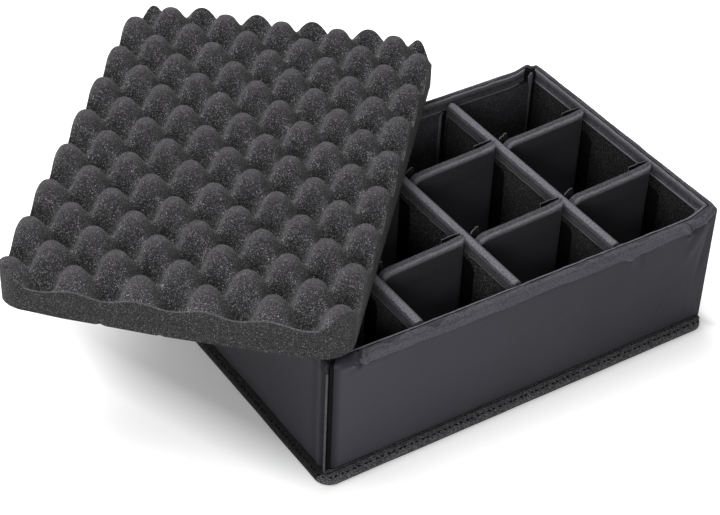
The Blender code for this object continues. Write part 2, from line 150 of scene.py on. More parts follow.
def hump(value, centre, width):
    """A smooth hump of height 1 round a centre."""
    return math.exp(-((value - centre) / width) ** 2)


def drift(scale, *place):
    """Slow, repeatable variation from -1 to 1 over a place."""
    x, y, z = (*place, 0.0, 0.0, 0.0)[:3]
    return noise.noise(Vector((x / scale, y / scale, z / scale)))


def steps(start, end, count):
    """Evenly spaced values, both ends included."""
    return [start + (end - start) * index / count for index in range(count + 1)]


def arc(start, end, count):
    """Evenly spaced angles in degrees, each with its cosine and sine."""
    angles = steps(start, end, count)
    return [(angle, math.cos(math.radians(angle)), math.sin(math.radians(angle))) for angle in angles]


def shade(tone, colour):
    """A colour made darker or lighter by a factor."""
    return tuple(tone * value for value in colour)


class Graph:
    """Short names for the shader nodes of one material."""

    def __init__(self, name):
        self.material = bpy.data.materials.new(name)
        self.material.use_nodes = True
        self.tree = self.material.node_tree
        self.shader = self.tree.nodes["Principled BSDF"]
        self.coordinates = self.add("ShaderNodeTexCoord", {}).outputs["Object"]

    def feed(self, socket, value):
        """Set a socket to a number, vector or colour, or link an output to it."""
        if isinstance(value, (int, float)):
            socket.default_value = value
        elif isinstance(value, tuple):
            socket.default_value = (*value, 1.0) if socket.type == "RGBA" else value
        else:
            self.tree.links.new(value, socket)

    def add(self, kind, inputs, **settings):
        """A new node, with what feeds its inputs and its own settings."""
        node = self.tree.nodes.new(kind)
        for key, value in settings.items():
            setattr(node, key, value)
        for key, value in inputs.items():
            self.feed(node.inputs[key], value)
        return node

    def place(self):
        """Object coordinates, one by one."""
        return self.add("ShaderNodeSeparateXYZ", {"Vector": self.coordinates}).outputs

    def noise(self, scale, detail=2.0, roughness=0.5, vector=None):
        inputs = {"Scale": scale, "Detail": detail, "Roughness": roughness}
        inputs["Vector"] = vector or self.coordinates
        return self.add("ShaderNodeTexNoise", inputs).outputs["Fac"]

    def waves(self, scale, direction):
        inputs = {"Scale": scale, "Vector": self.coordinates}
        node = self.add("ShaderNodeTexWave", inputs, wave_type="BANDS", bands_direction=direction)
        return node.outputs["Fac"]

    def cells(self, scale, randomness=1.0):
        inputs = {"Scale": scale, "Randomness": randomness, "Vector": self.coordinates}
        return self.add("ShaderNodeTexVoronoi", inputs, feature="F1").outputs

    def speckle(self, scale, reach):
        """Bright middles of scattered cells, and three random values for each cell."""
        cells = self.cells(scale)
        chance = self.add("ShaderNodeSeparateColor", {"Color": cells["Color"]})
        return self.map(cells["Distance"], 0.15, reach, 1.0, 0.0), chance.outputs

    def math(self, operation, first, second):
        return self.add("ShaderNodeMath", {0: first, 1: second}, operation=operation).outputs[0]

    def map(self, value, low, high, out_low=0.0, out_high=1.0):
        inputs = {"Value": value, "From Min": low, "From Max": high, "To Min": out_low, "To Max": out_high}
        return self.add("ShaderNodeMapRange", inputs).outputs["Result"]

    def mix(self, factor, first, second):
        return self.add("ShaderNodeMix", {0: factor, 6: first, 7: second}, data_type="RGBA").outputs[2]

    def bump(self, height, strength, distance, normal=None):
        inputs = {"Strength": strength, "Distance": distance, "Height": height}
        if normal is not None:
            inputs["Normal"] = normal
        return self.add("ShaderNodeBump", inputs).outputs["Normal"]

    def finish(self, colour, roughness, normal, sheen=0.0, sheen_roughness=0.5, specular=0.5):
        values = {"Base Color": colour, "Roughness": roughness, "Normal": normal, "Sheen Weight": sheen,
                  "Sheen Roughness": sheen_roughness, "Specular IOR Level": specular}
        for key, value in values.items():
            self.feed(self.shader.inputs[key], value)
        return self.material


def nylon_material(name, dark, light, gloss=0.45, grain=0.3, specular=0.14, sheen=0.10, gathers=0.0,
                   painted_shading=()):
    """Satin nylon: a fine plain weave, soft sheen, slow colour drift, faint creases and gathers.

    Each ramp of tone paints light or shade over a place: axis, where it is strongest, where it ends, strength
    and tone.
    """
    g = Graph(name)
    slow = g.noise(22, 3, 0.55)
    fine = g.noise(900, 2, 0.6)
    weave = g.math("MULTIPLY", g.waves(900, "DIAGONAL"), g.waves(900, "Z"))
    colour = g.mix(g.map(slow, 0.3, 0.7), dark, light)
    colour = g.mix(g.map(fine, 0.36, 0.66, 0.0, grain), colour, shade(1.3 + grain, light))
    # painted light and shade: ramps towards a lighter or darker copy of the dark colour
    for axis, start, end, strength, tone in painted_shading:
        colour = g.mix(g.map(g.place()[axis], start, end, strength, 0.0), colour, shade(tone, dark))
    unevenness = g.math("ADD", slow, g.math("MULTIPLY", fine, 0.4))
    roughness = g.map(unevenness, 0.3, 1.1, gloss - 0.05, gloss + 0.14)
    normal = g.bump(g.noise(70, 4, 0.6), 0.25, 0.0012)
    if gathers:
        upright = g.add("ShaderNodeMapping", {"Vector": g.coordinates, "Scale": (1.0, 1.0, 0.12)})
        normal = g.bump(g.noise(330, 1, 0.4, upright.outputs["Vector"]), gathers, 0.0016, normal)
    return g.finish(colour, roughness, g.bump(weave, 0.25, 0.0001, normal), sheen, 0.4, specular)


def tape_material(name, tone):
    """Woven binding tape: ribs across it, and a coarse thread grain."""
    g = Graph(name)
    ribs = g.math("MULTIPLY", g.waves(420, "X"), g.waves(420, "Y"))
    grain = g.noise(800, 3, 0.7)
    knots = g.map(g.cells(700)["Distance"], 0.12, 0.6, 1.0, 0.0)
    height = g.math("ADD", g.math("MULTIPLY", ribs, 0.2), g.math("MULTIPLY", grain, 1.0))
    height = g.math("ADD", height, g.math("MULTIPLY", knots, 0.5))
    deep = shade(tone, (0.026, 0.026, 0.029))
    pale = shade(tone, (0.250, 0.247, 0.259))
    colour = g.mix(g.map(height, 0.50, 1.20), deep, pale)
    colour = g.mix(g.math("MULTIPLY", g.noise(30, 2, 0.5), 0.25), colour, shade(tone, (0.110, 0.109, 0.115)))
    return g.finish(colour, g.map(grain, 0.2, 0.8, 0.65, 0.9), g.bump(height, 0.8, 0.0006), 0.1, 0.5, 0.15)


def loop_material(name, lit_share, tone=1.0):
    """Brushed loop velour: near black, with a speckle of lit loops."""
    g = Graph(name)
    fuzz = g.noise(1100, 3, 0.7)
    near, chance = g.speckle(720, 0.75)
    lit = g.math("MULTIPLY", g.math("POWER", chance["Red"], 3.0), near)
    patches = g.map(g.noise(60, 3, 0.6), 0.3, 0.7)
    colour = g.mix(patches, shade(tone, (0.0060, 0.0060, 0.0067)), shade(tone, (0.0105, 0.0105, 0.0117)))
    colour = g.mix(g.map(fuzz, 0.45, 0.75, 0.0, 0.5 * lit_share), colour, (0.040, 0.040, 0.044))
    colour = g.mix(g.math("MULTIPLY", lit, lit_share), colour, (0.150, 0.148, 0.157))
    height = g.math("ADD", near, g.math("MULTIPLY", fuzz, 0.6))
    return g.finish(colour, g.map(fuzz, 0.2, 0.8, 0.8, 1.0), g.bump(height, 0.6, 0.0010), 0.06, 0.5, 0.06)


def hook_material():
    """Hook strip: a dense bed of tiny stiff hooks."""
    g = Graph("hook_strip")
    hooks = g.cells(900, 0.35)["Distance"]
    grain = g.noise(600, 2, 0.6)
    colour = g.mix(g.map(hooks, 0.1, 0.6), (0.012, 0.012, 0.013), (0.005, 0.005, 0.0055))
    return g.finish(colour, g.map(grain, 0.2, 0.8, 0.45, 0.65), g.bump(hooks, 0.7, 0.0005), 0.0, 0.5, 0.12)


def foam_material(name, lift=0.0, sparkle=1.0, tone=1.0):
    """Open-cell foam: a mottled grey base, pale glints on lit cell walls, dark open cells, and painted light
    and shade by height.
    """
    g = Graph(name)
    height = g.place()["Z"]
    # top marks the dome tops: painted light there, and fewer glints
    top = g.map(height, 0.1535, 0.1625)
    fine, fine_chance = g.speckle(1900, 0.70)
    broad, broad_chance = g.speckle(1150, 0.70)
    glints = g.math("MULTIPLY", g.math("POWER", fine_chance["Red"], 5.0), fine)
    glints = g.math("ADD", glints, g.math("MULTIPLY", g.math("POWER", broad_chance["Red"], 11.0), broad))
    glints = g.math("MULTIPLY", glints, g.map(top, 0.0, 1.0, sparkle, 0.3 * sparkle))
    holes = g.math("MULTIPLY", g.math("POWER", broad_chance["Green"], 3.0), broad)
    mottle = g.noise(620, 3, 0.7)
    slow = g.noise(26, 3, 0.55)
    deep = shade(tone, (0.0390, 0.0355, 0.0394))
    pale = shade(tone, (0.0480, 0.0440, 0.0484))
    colour = g.mix(g.map(slow, 0.3, 0.7), deep, pale)
    colour = g.mix(g.math("MULTIPLY", top, 0.55), colour, (0.084, 0.079, 0.085))
    # painted shade: darker low down, in the valleys and on the lower cut faces
    colour = g.mix(g.map(height, 0.130, 0.152, 0.55, 0.0), colour, (0.0120, 0.0108, 0.0120))
    colour = g.mix(g.map(mottle, 0.36, 0.62), g.mix(0.62, colour, (0.010, 0.009, 0.010)), colour)
    colour = g.mix(g.math("MULTIPLY", holes, 0.7), colour, (0.012, 0.011, 0.012))
    colour = g.mix(g.math("MULTIPLY", glints, 0.9), colour, (0.56, 0.55, 0.565))
    # lift: painted light towards pale grey, for a highlight line or a lighter side
    colour = g.mix(lift, colour, (0.16, 0.155, 0.162))
    relief = g.math("ADD", g.math("MULTIPLY", fine, fine_chance["Blue"]), g.math("MULTIPLY", mottle, 1.2))
    return g.finish(colour, g.map(slow, 0.2, 0.8, 0.75, 0.95), g.bump(relief, 0.6, 0.0008), 0.09, 0.6, 0.1)


def thread_material():
    """Twisted sewing thread."""
    g = Graph("thread")
    twist = g.waves(1500, "DIAGONAL")
    colour = g.mix(twist, (0.004, 0.004, 0.004), (0.010, 0.010, 0.011))
    return g.finish(colour, g.map(twist, 0, 1, 0.8, 0.9), g.bump(twist, 0.4, 0.0002), 0.0, 0.5, 0.05)


def board_material():
    """Stiff fibre board with a faint mottled grain."""
    g = Graph("base_board")
    grain = g.noise(300, 4, 0.6)
    colour = g.mix(grain, (0.020, 0.020, 0.021), (0.042, 0.042, 0.044))
    return g.finish(colour, g.map(grain, 0.2, 0.8, 0.5, 0.7), g.bump(grain, 0.3, 0.0002))


NYLON = nylon_material("satin_nylon", (0.0265, 0.0255, 0.0345), (0.0365, 0.0352, 0.0470))
# Front wall: painted light, lighter towards its left end, and painted shade in a dark band by the front left
# corner
FRONT = nylon_material("front_nylon", (0.0270, 0.0264, 0.0332), (0.0375, 0.0366, 0.0453),
                       painted_shading=(("X", -0.17, 0.17, 0.55, 2.4),
                              ("X", 0.0040 - HALF_LENGTH, 0.0125 - HALF_LENGTH, 0.90, 0.18)))
# Left wall: a darker copy of the satin as painted shade, darker still near its front end by the front left
# corner
SIDE = nylon_material("side_nylon", (0.0205, 0.0197, 0.0260), (0.0280, 0.0270, 0.0355),
                      painted_shading=(("Y", 0.0050 - HALF_WIDTH, 0.0230 - HALF_WIDTH, 0.65, 0.2),))
# Cross panels: painted light, lighter towards the bottom where less light reaches in the cells
PANEL = nylon_material("panel_nylon", (0.0170, 0.0168, 0.0190), (0.0245, 0.0240, 0.0270), 0.65, 0.7, 0.06,
                       painted_shading=(("Z", 0.1140, 0.0450, 0.60, 3.2), ("Z", 0.0450, 0.0950, 0.80, 8.0)))
# Lighter copies of the satin as painted light: band and cuff on upturned faces and ridges, crest as a painted
# highlight along tops
BAND = nylon_material("band_nylon", (0.043, 0.0420, 0.0490), (0.058, 0.0565, 0.066), 0.75, 0.8, 0.08)
CUFF = nylon_material("cuff_nylon", (0.055, 0.0535, 0.0635), (0.074, 0.072, 0.085), 0.65, 0.7, 0.10)
CREST = nylon_material("crest_nylon", (0.070, 0.0685, 0.078), (0.095, 0.0925, 0.105), 0.75, 0.9, 0.08)
FLAP = nylon_material("flap_nylon", (0.026, 0.0255, 0.029), (0.038, 0.0375, 0.042), 0.70, 1.0, 0.06, 0.08)
GATHER = nylon_material("gathered_nylon", (0.040, 0.0392, 0.0460), (0.062, 0.0605, 0.070), 0.60, 0.7, 0.08,
                        gathers=1.0)
# Painted highlight along lips, ridges and folded edges
LIP = nylon_material("lip_nylon", (0.066, 0.0645, 0.073), (0.094, 0.0915, 0.103), 0.70, 0.7, 0.08)
# Near black: painted shade in gaps, grooves, creases and inside corners
PAINTED_SHADE = nylon_material("painted_shade_nylon", (0.006, 0.006, 0.007), (0.010, 0.010, 0.011), 0.80, 0.1, 0.03, 0.0)
# Lightest copy of the satin: painted highlight along piping and edges
EDGE = nylon_material("nylon_edge", (0.095, 0.094, 0.102), (0.140, 0.138, 0.150), 0.6)
TAPE = tape_material("woven_tape", 1.0)
TAPE_SHADE = tape_material("woven_tape_dark", 0.16)
LOOP = loop_material("loop_velour", 0.75)
# Painted light and shade on the linings: a lit copy for the back wall and a shaded copy for the right wall
LOOP_PAINTED_LIGHT = loop_material("loop_velour_painted_light", 1.0, 6.0)
LOOP_PAINTED_SHADE = loop_material("loop_velour_painted_shade", 0.20, 0.7)
HOOK = hook_material()
FOAM = foam_material("pad_foam")
FOAM_CUT = foam_material("pad_foam_cut", 0.0, 0.5, 0.50)
# Painted light: a highlight line along the front cut edge, and a lighter side
FOAM_EDGE = foam_material("pad_foam_edge", 0.45)
FOAM_SIDE = foam_material("pad_foam_side", 0.10)
THREAD = thread_material()
BOARD = board_material()


def make_piece(name, verts, faces, material, body, replaced=(), sharp=None, painted=None):
    """A named mesh piece that rides on a CAD body; painted gives single faces another material."""
    mesh = bpy.data.meshes.new(name)
    mesh.from_pydata([tuple(vert) for vert in verts], [], faces)
    mesh.materials.append(material)
    others = []
    for index, other in (painted or {}).items():
        if other not in others:
            others.append(other)
            mesh.materials.append(other)
        mesh.polygons[index].material_index = 1 + others.index(other)
    builder = bmesh.new()
    builder.from_mesh(mesh)
    bmesh.ops.recalc_face_normals(builder, faces=builder.faces)
    builder.to_mesh(mesh)
    builder.free()
    mesh.shade_smooth()
    if sharp is not None:
        mesh.set_sharp_from_angle(angle=math.radians(sharp))
    piece = bpy.data.objects.new(name, mesh)
    bpy.context.scene.collection.objects.link(piece)
    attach(piece, body)
    if replaced:
        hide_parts(*replaced)
    return piece


def loft(name, rings, material, body, replaced=(), closed_rows=False, sharp=None, columns=None,
         patches=None):
    """A closed body through rings of points; columns and single faces can have another material."""
    count = len(rings)
    size = len(rings[0])
    verts = [point for ring in rings for point in ring]
    faces = []
    rows = count if closed_rows else count - 1
    for row in range(rows):
        here = row * size
        there = (row + 1) % count * size
        for index in range(size):
            after = (index + 1) % size
            faces.append((here + index, here + after, there + after, there + index))
    if not closed_rows:
        faces.append(tuple(range(size)))
        faces.append(tuple(range((count - 1) * size, count * size)))
    painted = {row * size + column: other for column, other in (columns or {}).items() for row in range(rows)}
    painted.update({row * size + column: other for (row, column), other in (patches or {}).items()})
    return make_piece(name, verts, faces, material, body, replaced, sharp, painted)


def repaint(piece, first, material):
    """Give the last faces of a piece, counted from its end, a material that it already has."""
    index = piece.data.materials.find(material.name)
    for face in list(piece.data.polygons)[first:]:
        face.material_index = index


class Wall:
    """One wall: where it stands, its rim and its relief."""

    def __init__(self, name, half_run, rim, location, turn, seed):
        self.name = name
        self.half_run = half_run
        self.rim = rim
        self.place = Matrix.Translation(location) @ Matrix.Rotation(math.radians(turn), 4, "Z")
        self.seed = seed

    def crown(self, s):
        """Height of the rim at a distance from the wall's middle, as in the CAD source."""
        start_fall, middle_fall, end_fall, start_run, end_run = self.rim
        place = s / self.half_run
        from_start = (1 + place) * self.half_run
        from_end = (1 - place) * self.half_run
        fall = middle_fall
        fall += (start_fall - middle_fall) * max(0, 1 - from_start / start_run) ** 2
        fall += (end_fall - middle_fall) * max(0, 1 - from_end / end_run) ** 2
        return TRAY_HEIGHT - fall

    def point(self, s, depth, height):
        """A point in the CAD frame: s runs along the wall, depth goes inward."""
        return self.place @ Vector((s, depth, height))


WALLS = (
    Wall("front", HALF_LENGTH, (FRONT_LEFT_FALL, FRONT_SAG, 0, LONG_BLEND_RUN, SHORT_BLEND_RUN),
         (0, -HALF_WIDTH, 0), 0, 1.0),
    Wall("right", HALF_WIDTH, (0, 0, 0, SHORT_BLEND_RUN, SHORT_BLEND_RUN), (HALF_LENGTH, 0, 0), 90, 5.0),
    Wall("back", HALF_LENGTH, (0, 0, 0, SHORT_BLEND_RUN, SHORT_BLEND_RUN), (0, HALF_WIDTH, 0), 180, 9.0),
    Wall("left", HALF_WIDTH, (0, 0, FRONT_LEFT_FALL, SHORT_BLEND_RUN, LONG_BLEND_RUN),
         (-HALF_LENGTH, 0, 0), 270, 13.0),
)


def wall_section(crown, cuff, shift):
    """Section of a padded wall, from the foot of its face over the rim and down inside.

    Each point is (depth, height, outward depth, outward height, distance from the crown, part).
    """
    face_top = crown - ROLL_RADIUS
    heights = steps(CELL_FLOOR, CELL_FLOOR + 0.004, 3)[:-1]
    heights += steps(CELL_FLOOR + 0.004, crown - 0.017, 16)[:-1]
    heights += steps(crown - 0.017, crown - cuff - 0.0016, 5)
    heights += [crown - cuff - 0.0008, crown - cuff - 0.0002]
    section = [(0, height, -1, 0, height - crown, "face") for height in heights]
    heights = steps(crown - cuff, face_top, 5)[:-1]
    section += [(0, height, -1, 0, height - crown, "cuff") for height in heights]
    for angle, cosine, sine in arc(180, 78, 8):
        section.append((ROLL_RADIUS * (1 + cosine), face_top + ROLL_RADIUS * sine, cosine, sine,
                        -ROLL_RADIUS * (angle - 78) / 102, "cuff"))
    for depth, drop, distance, part in (
            (0.0052 - shift, 0.0006, 0.0004, "groove"), (0.0056 - shift, 0.0016, 0.0008, "groove"),
            (0.0060 - 0.8 * shift, 0.0012, 0.0011, "groove"), (0.0063 - 0.5 * shift, 0.0005, 0.0014, "ridge"),
            (0.0066, 0.0002, 0.0017, "ridge"), (0.0070, 0.0003, 0.0022, "ridge")):
        section.append((depth, crown - drop, 0, 1, distance, part))
    for angle, cosine, sine in arc(70, 0, 4):
        section.append((0.0067 + EDGE_ROUND * cosine, crown - 0.0016 + EDGE_ROUND * sine, cosine, sine,
                        0.0030 + 0.0016 * (70 - angle) / 70, "ridge"))
    for share in steps(0, 1, 8)[1:]:
        height = crown - 0.0024 - 0.0078 * share
        section.append((0.0080 - 0.0007 * share ** 1.5, height, 1, 0, 0.0046 + 0.0078 * share, "turndown"))
    lip = crown - COVER_TURNDOWN
    section += [(0.0077, lip + 0.0015, 1, 0, 0.0128, "piping"),
                (0.0081, lip + 0.0010, 1, 0, 0.0132, "piping"),
                (0.0081, lip + 0.0004, 1, 0, 0.0136, "piping"), (0.0076, lip, 0, -1, 0.0140, "lip"),
                (CORE_BACK, lip, 0, -1, 0.015, "back")]
    for share in steps(0, 1, 6)[1:]:
        section.append((CORE_BACK, lip + (CELL_FLOOR - lip) * share, 0, 0, 0.03, "back"))
    return section


# Folds of the front wall: start and end as distances from its right end and from the crown, width, height
FRONT_FOLDS = (
    ((-0.003, -0.0010), (-0.034, -0.0052), 0.0020, 0.0018),
    ((-0.034, -0.0048), (-0.092, -0.0082), 0.0022, 0.0012),
    ((-0.006, -0.0062), (-0.033, -0.0098), 0.0021, -0.0014),
    ((-0.033, -0.0010), (-0.025, -0.0150), 0.0018, 0.0024),
    ((-0.024, -0.0010), (-0.018, -0.0120), 0.0015, -0.0020),
    ((-0.014, -0.0010), (-0.009, -0.0110), 0.0015, 0.0018),
    ((-0.090, -0.0050), (-0.083, -0.0180), 0.0019, 0.0013),
    ((-0.079, -0.0060), (-0.072, -0.0190), 0.0022, -0.0009),
    ((-0.060, -0.0020), (-0.066, -0.0120), 0.0020, -0.0006),
    ((-0.012, -0.0120), (-0.026, -0.0340), 0.0045, 0.0011),
    ((-0.004, -0.0150), (-0.011, -0.0600), 0.0030, -0.0008),
    ((-0.330, -0.0055), (-0.352, -0.0085), 0.0020, 0.0014),
    ((-0.326, -0.0090), (-0.350, -0.0125), 0.0020, -0.0010),
    ((-0.3410, 0.0000), (-0.3375, -0.0125), 0.0019, -0.0038),
    ((-0.3360, -0.0010), (-0.3310, -0.0140), 0.0018, 0.0018),
)
FOLDED_RIGHT = 0.11
FOLDED_LEFT = 0.06


def fold(s, t, start, end, width, height):
    """A fold along a line from start to end in wall coordinates, fading at both ends."""
    run = Vector((end[0] - start[0], end[1] - start[1]))
    away = Vector((s - start[0], t - start[1]))
    share = away.dot(run) / run.length_squared
    if not -0.2 < share < 1.2:
        return 0.0
    across = abs(away.x * run.y - away.y * run.x) / run.length
    rise = height * math.exp(-(across / width) ** 2)
    return rise * ramp(-0.15, 0.25, share) * (1 - ramp(0.75, 1.15, share))


def cuff_depth(wall, s):
    """How far down the folded cuff of a wall reaches outside."""
    depth = 0.0084 + 0.0013 * drift(0.045, s, wall.seed + 31) + 0.0008 * drift(0.014, s, wall.seed + 37)
    if wall.name == "front":
        depth -= 0.0036 * ramp(wall.half_run - 0.078, wall.half_run - 0.022, s)
        depth += 0.0030 * hump(s, wall.half_run - 0.087, 0.0055)
        depth -= 0.0042 * ramp(0.027, 0.017, wall.half_run + s)
    return min(max(depth, 0.0050), 0.0140)


def face_relief(wall, s, t, height, part):
    """Outward relief of a wall's face and cuff."""
    half = wall.half_run
    along = 1 - (s / half) ** 2
    rise = (height - CELL_FLOOR) / 0.11
    out = 0.0009 * along * math.sin(math.pi * min(rise, 1))
    out += 0.0006 * drift(0.055, s, t, wall.seed) * along
    out += 0.00022 * drift(0.016, s, 2.5 * t, wall.seed + 3) * ramp(-0.03, -0.004, t)
    depth = cuff_depth(wall, s)
    if part == "cuff":
        stand = 0.0017 + 0.0006 * drift(0.03, s, wall.seed + 41)
        stand += 0.0003 * drift(0.009, s, 2 * t, wall.seed + 47)
        out += stand * min(max(-t / depth, 0), 1) ** 0.8 * ramp(0, 0.12, along)
    else:
        out -= 0.0005 * hump(t, -depth - 0.0008, 0.0016) * ramp(0, 0.1, along)
    foot = ramp(CELL_FLOOR + 0.0002, CELL_FLOOR + 0.0016 + 0.0005 * drift(0.02, s, wall.seed + 43), height)
    return out - 0.0005 * (1 - foot)


def wall_relief(wall, s, t, height, part):
    """How far the fabric of a wall stands out, t being the distance from the crown, inward positive."""
    half = wall.half_run
    outside = part in ("face", "cuff")
    out = 0.0
    if outside:
        out += face_relief(wall, s, t, height, part)
    elif part == "groove":
        out -= 0.0003 + 0.0003 * drift(0.02, s, wall.seed + 7)
    elif part == "ridge":
        out += 0.0004 + 0.0004 * drift(0.011, s, wall.seed + 11)
    elif part == "turndown":
        out += 0.0003 * drift(0.006, s, 0.3 * t, wall.seed + 17) - RELIEF_GAP
    if wall.name == "front":
        if s > half - FOLDED_RIGHT or s < -half + FOLDED_LEFT:
            for start, end, width, rise in FRONT_FOLDS:
                out += fold(s, t, (half + start[0], start[1]), (half + end[0], end[1]), width, rise)
        if outside:
            out -= 0.0025 * max(0, 1 - (s + half) / 0.0085) ** 0.85
    if wall.name == "left" and outside:
        out += 0.0013 * hump(s, half - 0.0016, 0.0010) - 0.0010 * hump(s, half - 0.0040, 0.0014)
        out += 0.0006 * hump(s, half - 0.0085, 0.0022) - 0.0006 * hump(s, half - 0.0150, 0.0035)
    return out


def cuff_paint(wall, s, t):
    """Material of a patch of the folded cuff where it isn't the cuff's own, or None: painted shade in fold
    streaks and along its top, and painted light on the band below.
    """
    paint = None
    streak = drift(0.020, s, wall.seed + 61)
    if streak > 0.0 and -0.0012 - 0.0030 * streak < t < -0.0003:
        paint = PANEL
    elif t > -0.0014:
        paint = FLAP
    elif t > -0.0034 + 0.0012 * drift(0.03, s, wall.seed + 67):
        paint = BAND
    # front wall: plain satin by the left corner, and painted shade in its folds
    if wall.name == "front":
        from_start = s + wall.half_run
        deep = -t / 0.0095
        if from_start < 0.0180 + 0.006 * deep:
            paint = NYLON
        if 0.0175 + 0.0080 * deep < from_start < 0.0275 - 0.0020 * deep and 0.1 < deep < 1:
            paint = PANEL
        if abs(wall.half_run - s - 0.0300 + 0.55 * -t) < 0.0010 and t < -0.0015:
            paint = PANEL
    return paint


def wall_paint(wall, s, t, part):
    """Material of a patch of a wall where it isn't its column's own, or None: painted shade in the front left
    corner gap, grooves, the back right corner and a crease line, and a painted highlight on the left wall's
    corner ridge.
    """
    from_start = s + wall.half_run
    # painted shade in the gap at the front left corner
    if wall.name == "front" and part in ("face", "cuff") and from_start < SEAM_SHADE_WIDTH:
        return PAINTED_SHADE
    if part == "cuff" and wall.name != "left":
        return cuff_paint(wall, s, t)
    if part == "groove" and drift(0.010, s, wall.seed + 59) > -0.15:
        return PAINTED_SHADE
    if wall.name == "left" and part == "face" and wall.half_run - 0.0028 < s < wall.half_run - 0.0010:
        return BAND
    if wall.name == "back" and part in ("turndown", "piping", "ridge"):
        if from_start < 0.0115 or part == "piping" and from_start < 0.0150:
            return PAINTED_SHADE
    # a darker crease line along the turndown, as painted shade
    middle = 0.0072 + 0.0008 * drift(0.03, s, wall.seed + 71)
    if part == "turndown" and abs(t - middle) < 0.0009 + 0.0008 * drift(0.006, s, wall.seed + 73):
        return FLAP
    return None


def wall_columns(wall, parts):
    """Materials of a wall's lengthwise strips, apart from its main one: painted highlights on piping and
    ridge, painted light on the cuff, and painted shade in the groove, along the foot and at the top of the
    roll.
    """
    paints = {"piping": EDGE, "groove": FLAP, "turndown": GATHER, "ridge": LIP}
    if wall.name != "left":
        paints["cuff"] = CUFF
    columns = {index: paints[part] for index, part in enumerate(parts) if part in paints}
    # painted shadow line along the foot
    columns[0] = PAINTED_SHADE
    last_cuff = parts.index("groove") - 1
    columns[last_cuff] = PAINTED_SHADE
    columns[last_cuff - 1] = FLAP
    return columns


def make_wall(wall):
    """The padded nylon wall with its core, folded over the rim and turned down inside."""
    half = wall.half_run
    count = round(half * 2 / WALL_SPACING)
    raised = 0.0105 - half
    rings = []
    patches = {}
    for index in range(count + 1):
        place = -1 + 2 * index / count
        place = math.copysign(1 - (1 - abs(place)) ** 1.08, place)
        s = place * half
        crown = wall.crown(s)
        if wall.name == "back":
            crown += 0.0030 * hump(s, raised, 0.0090 if s > raised else 0.0035)
        shift = 0.0004 + 0.0008 * abs(drift(0.016, s, wall.seed + 53))
        section = wall_section(crown, cuff_depth(wall, s), shift)
        ring = []
        for column, (depth, height, out_depth, out_height, t, part) in enumerate(section):
            out = 0.0 if part in ("lip", "back") else wall_relief(wall, s, t, height, part)
            depth = min(depth + out_depth * out, INNER_LIMIT)
            height += out_height * out
            if wall.name != "front":
                height = min(height, crown + 0.0002)
            mitre = half - max(depth, 0) - GAP / math.sqrt(2)
            ring.append(wall.point(place * mitre, depth, height))
            paint = wall_paint(wall, s, t, part)
            if paint and index < count:
                patches[index, column] = paint
        rings.append(ring)
    columns = wall_columns(wall, [part for *_, part in section])
    material = {"front": FRONT, "left": SIDE}.get(wall.name, NYLON)
    replaced = (wall.name + "_wall_cover", wall.name + "_wall_core")
    piece = loft(wall.name + "_wall", rings, material, "tray", replaced, columns=columns,
                 patches=patches, sharp=75)
    # end faces in painted shade, where the walls meet in the corners
    repaint(piece, -2, PAINTED_SHADE)


def make_lining(wall):
    """The loop lining of one wall, softly uneven."""
    count = round(wall.half_run * 2 / LINING_SPACING)
    rings = []
    for index in range(count + 1):
        place = -1 + 2 * index / count
        top = wall.crown(place * wall.half_run) - COVER_TURNDOWN - GAP
        section = [(LINING_FRONT, CELL_FLOOR), (LINING_FRONT, top)]
        section += [(LINING_FACE, top + (CELL_FLOOR - top) * share) for share in steps(0, 1, 24)]
        ring = []
        for depth, height in section:
            if depth == LINING_FACE:
                depth += 0.00015 * drift(0.012, place * wall.half_run, height, wall.seed + 21)
            ring.append(wall.point(place * (wall.half_run - depth - GAP / math.sqrt(2)), depth, height))
        rings.append(ring)
    # back lining in painted light, right lining in painted shade
    material = {"back": LOOP_PAINTED_LIGHT, "right": LOOP_PAINTED_SHADE}.get(wall.name, LOOP)
    loft(wall.name + "_lining", rings, material, "tray", (wall.name + "_wall_lining",),
         sharp=60)


def make_corner_tape(name, side_x, side_y, turn, fall, raised=0.0):
    """Soft tape folded into an inside corner, flaring a little at its top."""
    location = (side_x * INSIDE_LENGTH / 2, side_y * INSIDE_WIDTH / 2, 0)
    place = Matrix.Translation(location) @ Matrix.Rotation(math.radians(turn), 4, "Z")
    top = TRAY_HEIGHT - fall - CORNER_TAPE_DROP + raised
    near = GAP + RELIEF_GAP
    short = CORNER_TAPE_WIDTH * 0.30
    rings = []
    for share in steps(0, 1, 40):
        height = CELL_FLOOR + (top - CELL_FLOOR) * share
        width = CORNER_TAPE_WIDTH * (0.74 + 0.08 * drift(0.02, height, side_x + 2 * side_y))
        width += 0.0026 * ramp(0.84, 0.94, share) - 0.0030 * ramp(0.975, 1.0, share)
        plump = 0.0008 + 0.0009 * ramp(0.82, 0.94, share)
        ring = [(width + GAP, near), (width + GAP, GAP + plump * 0.7), (width + GAP - 0.0008, GAP + plump),
                (GAP + 0.0026, GAP + plump * 0.9), (GAP + 0.0020, GAP + 0.0004)]
        ring += [(GAP + 0.0004 + 0.0012 * (1 - math.sin(angle)),
                  GAP + 0.0004 + 0.0012 * (1 - math.cos(angle))) for angle in steps(0.3, math.pi / 2, 4)]
        ring += [(GAP + 0.0006, short + GAP), (near, short + GAP), (near, near)]
        rings.append([place @ Vector((x, y, height)) for x, y in ring])
    # near black as painted shade in the inside corner, with a painted highlight along its outer edge
    loft("corner_tape_" + name + "_soft", rings, PAINTED_SHADE, "tray", ("corner_tape_" + name,),
         sharp=50, columns={0: LIP, 1: LIP, 2: LIP})


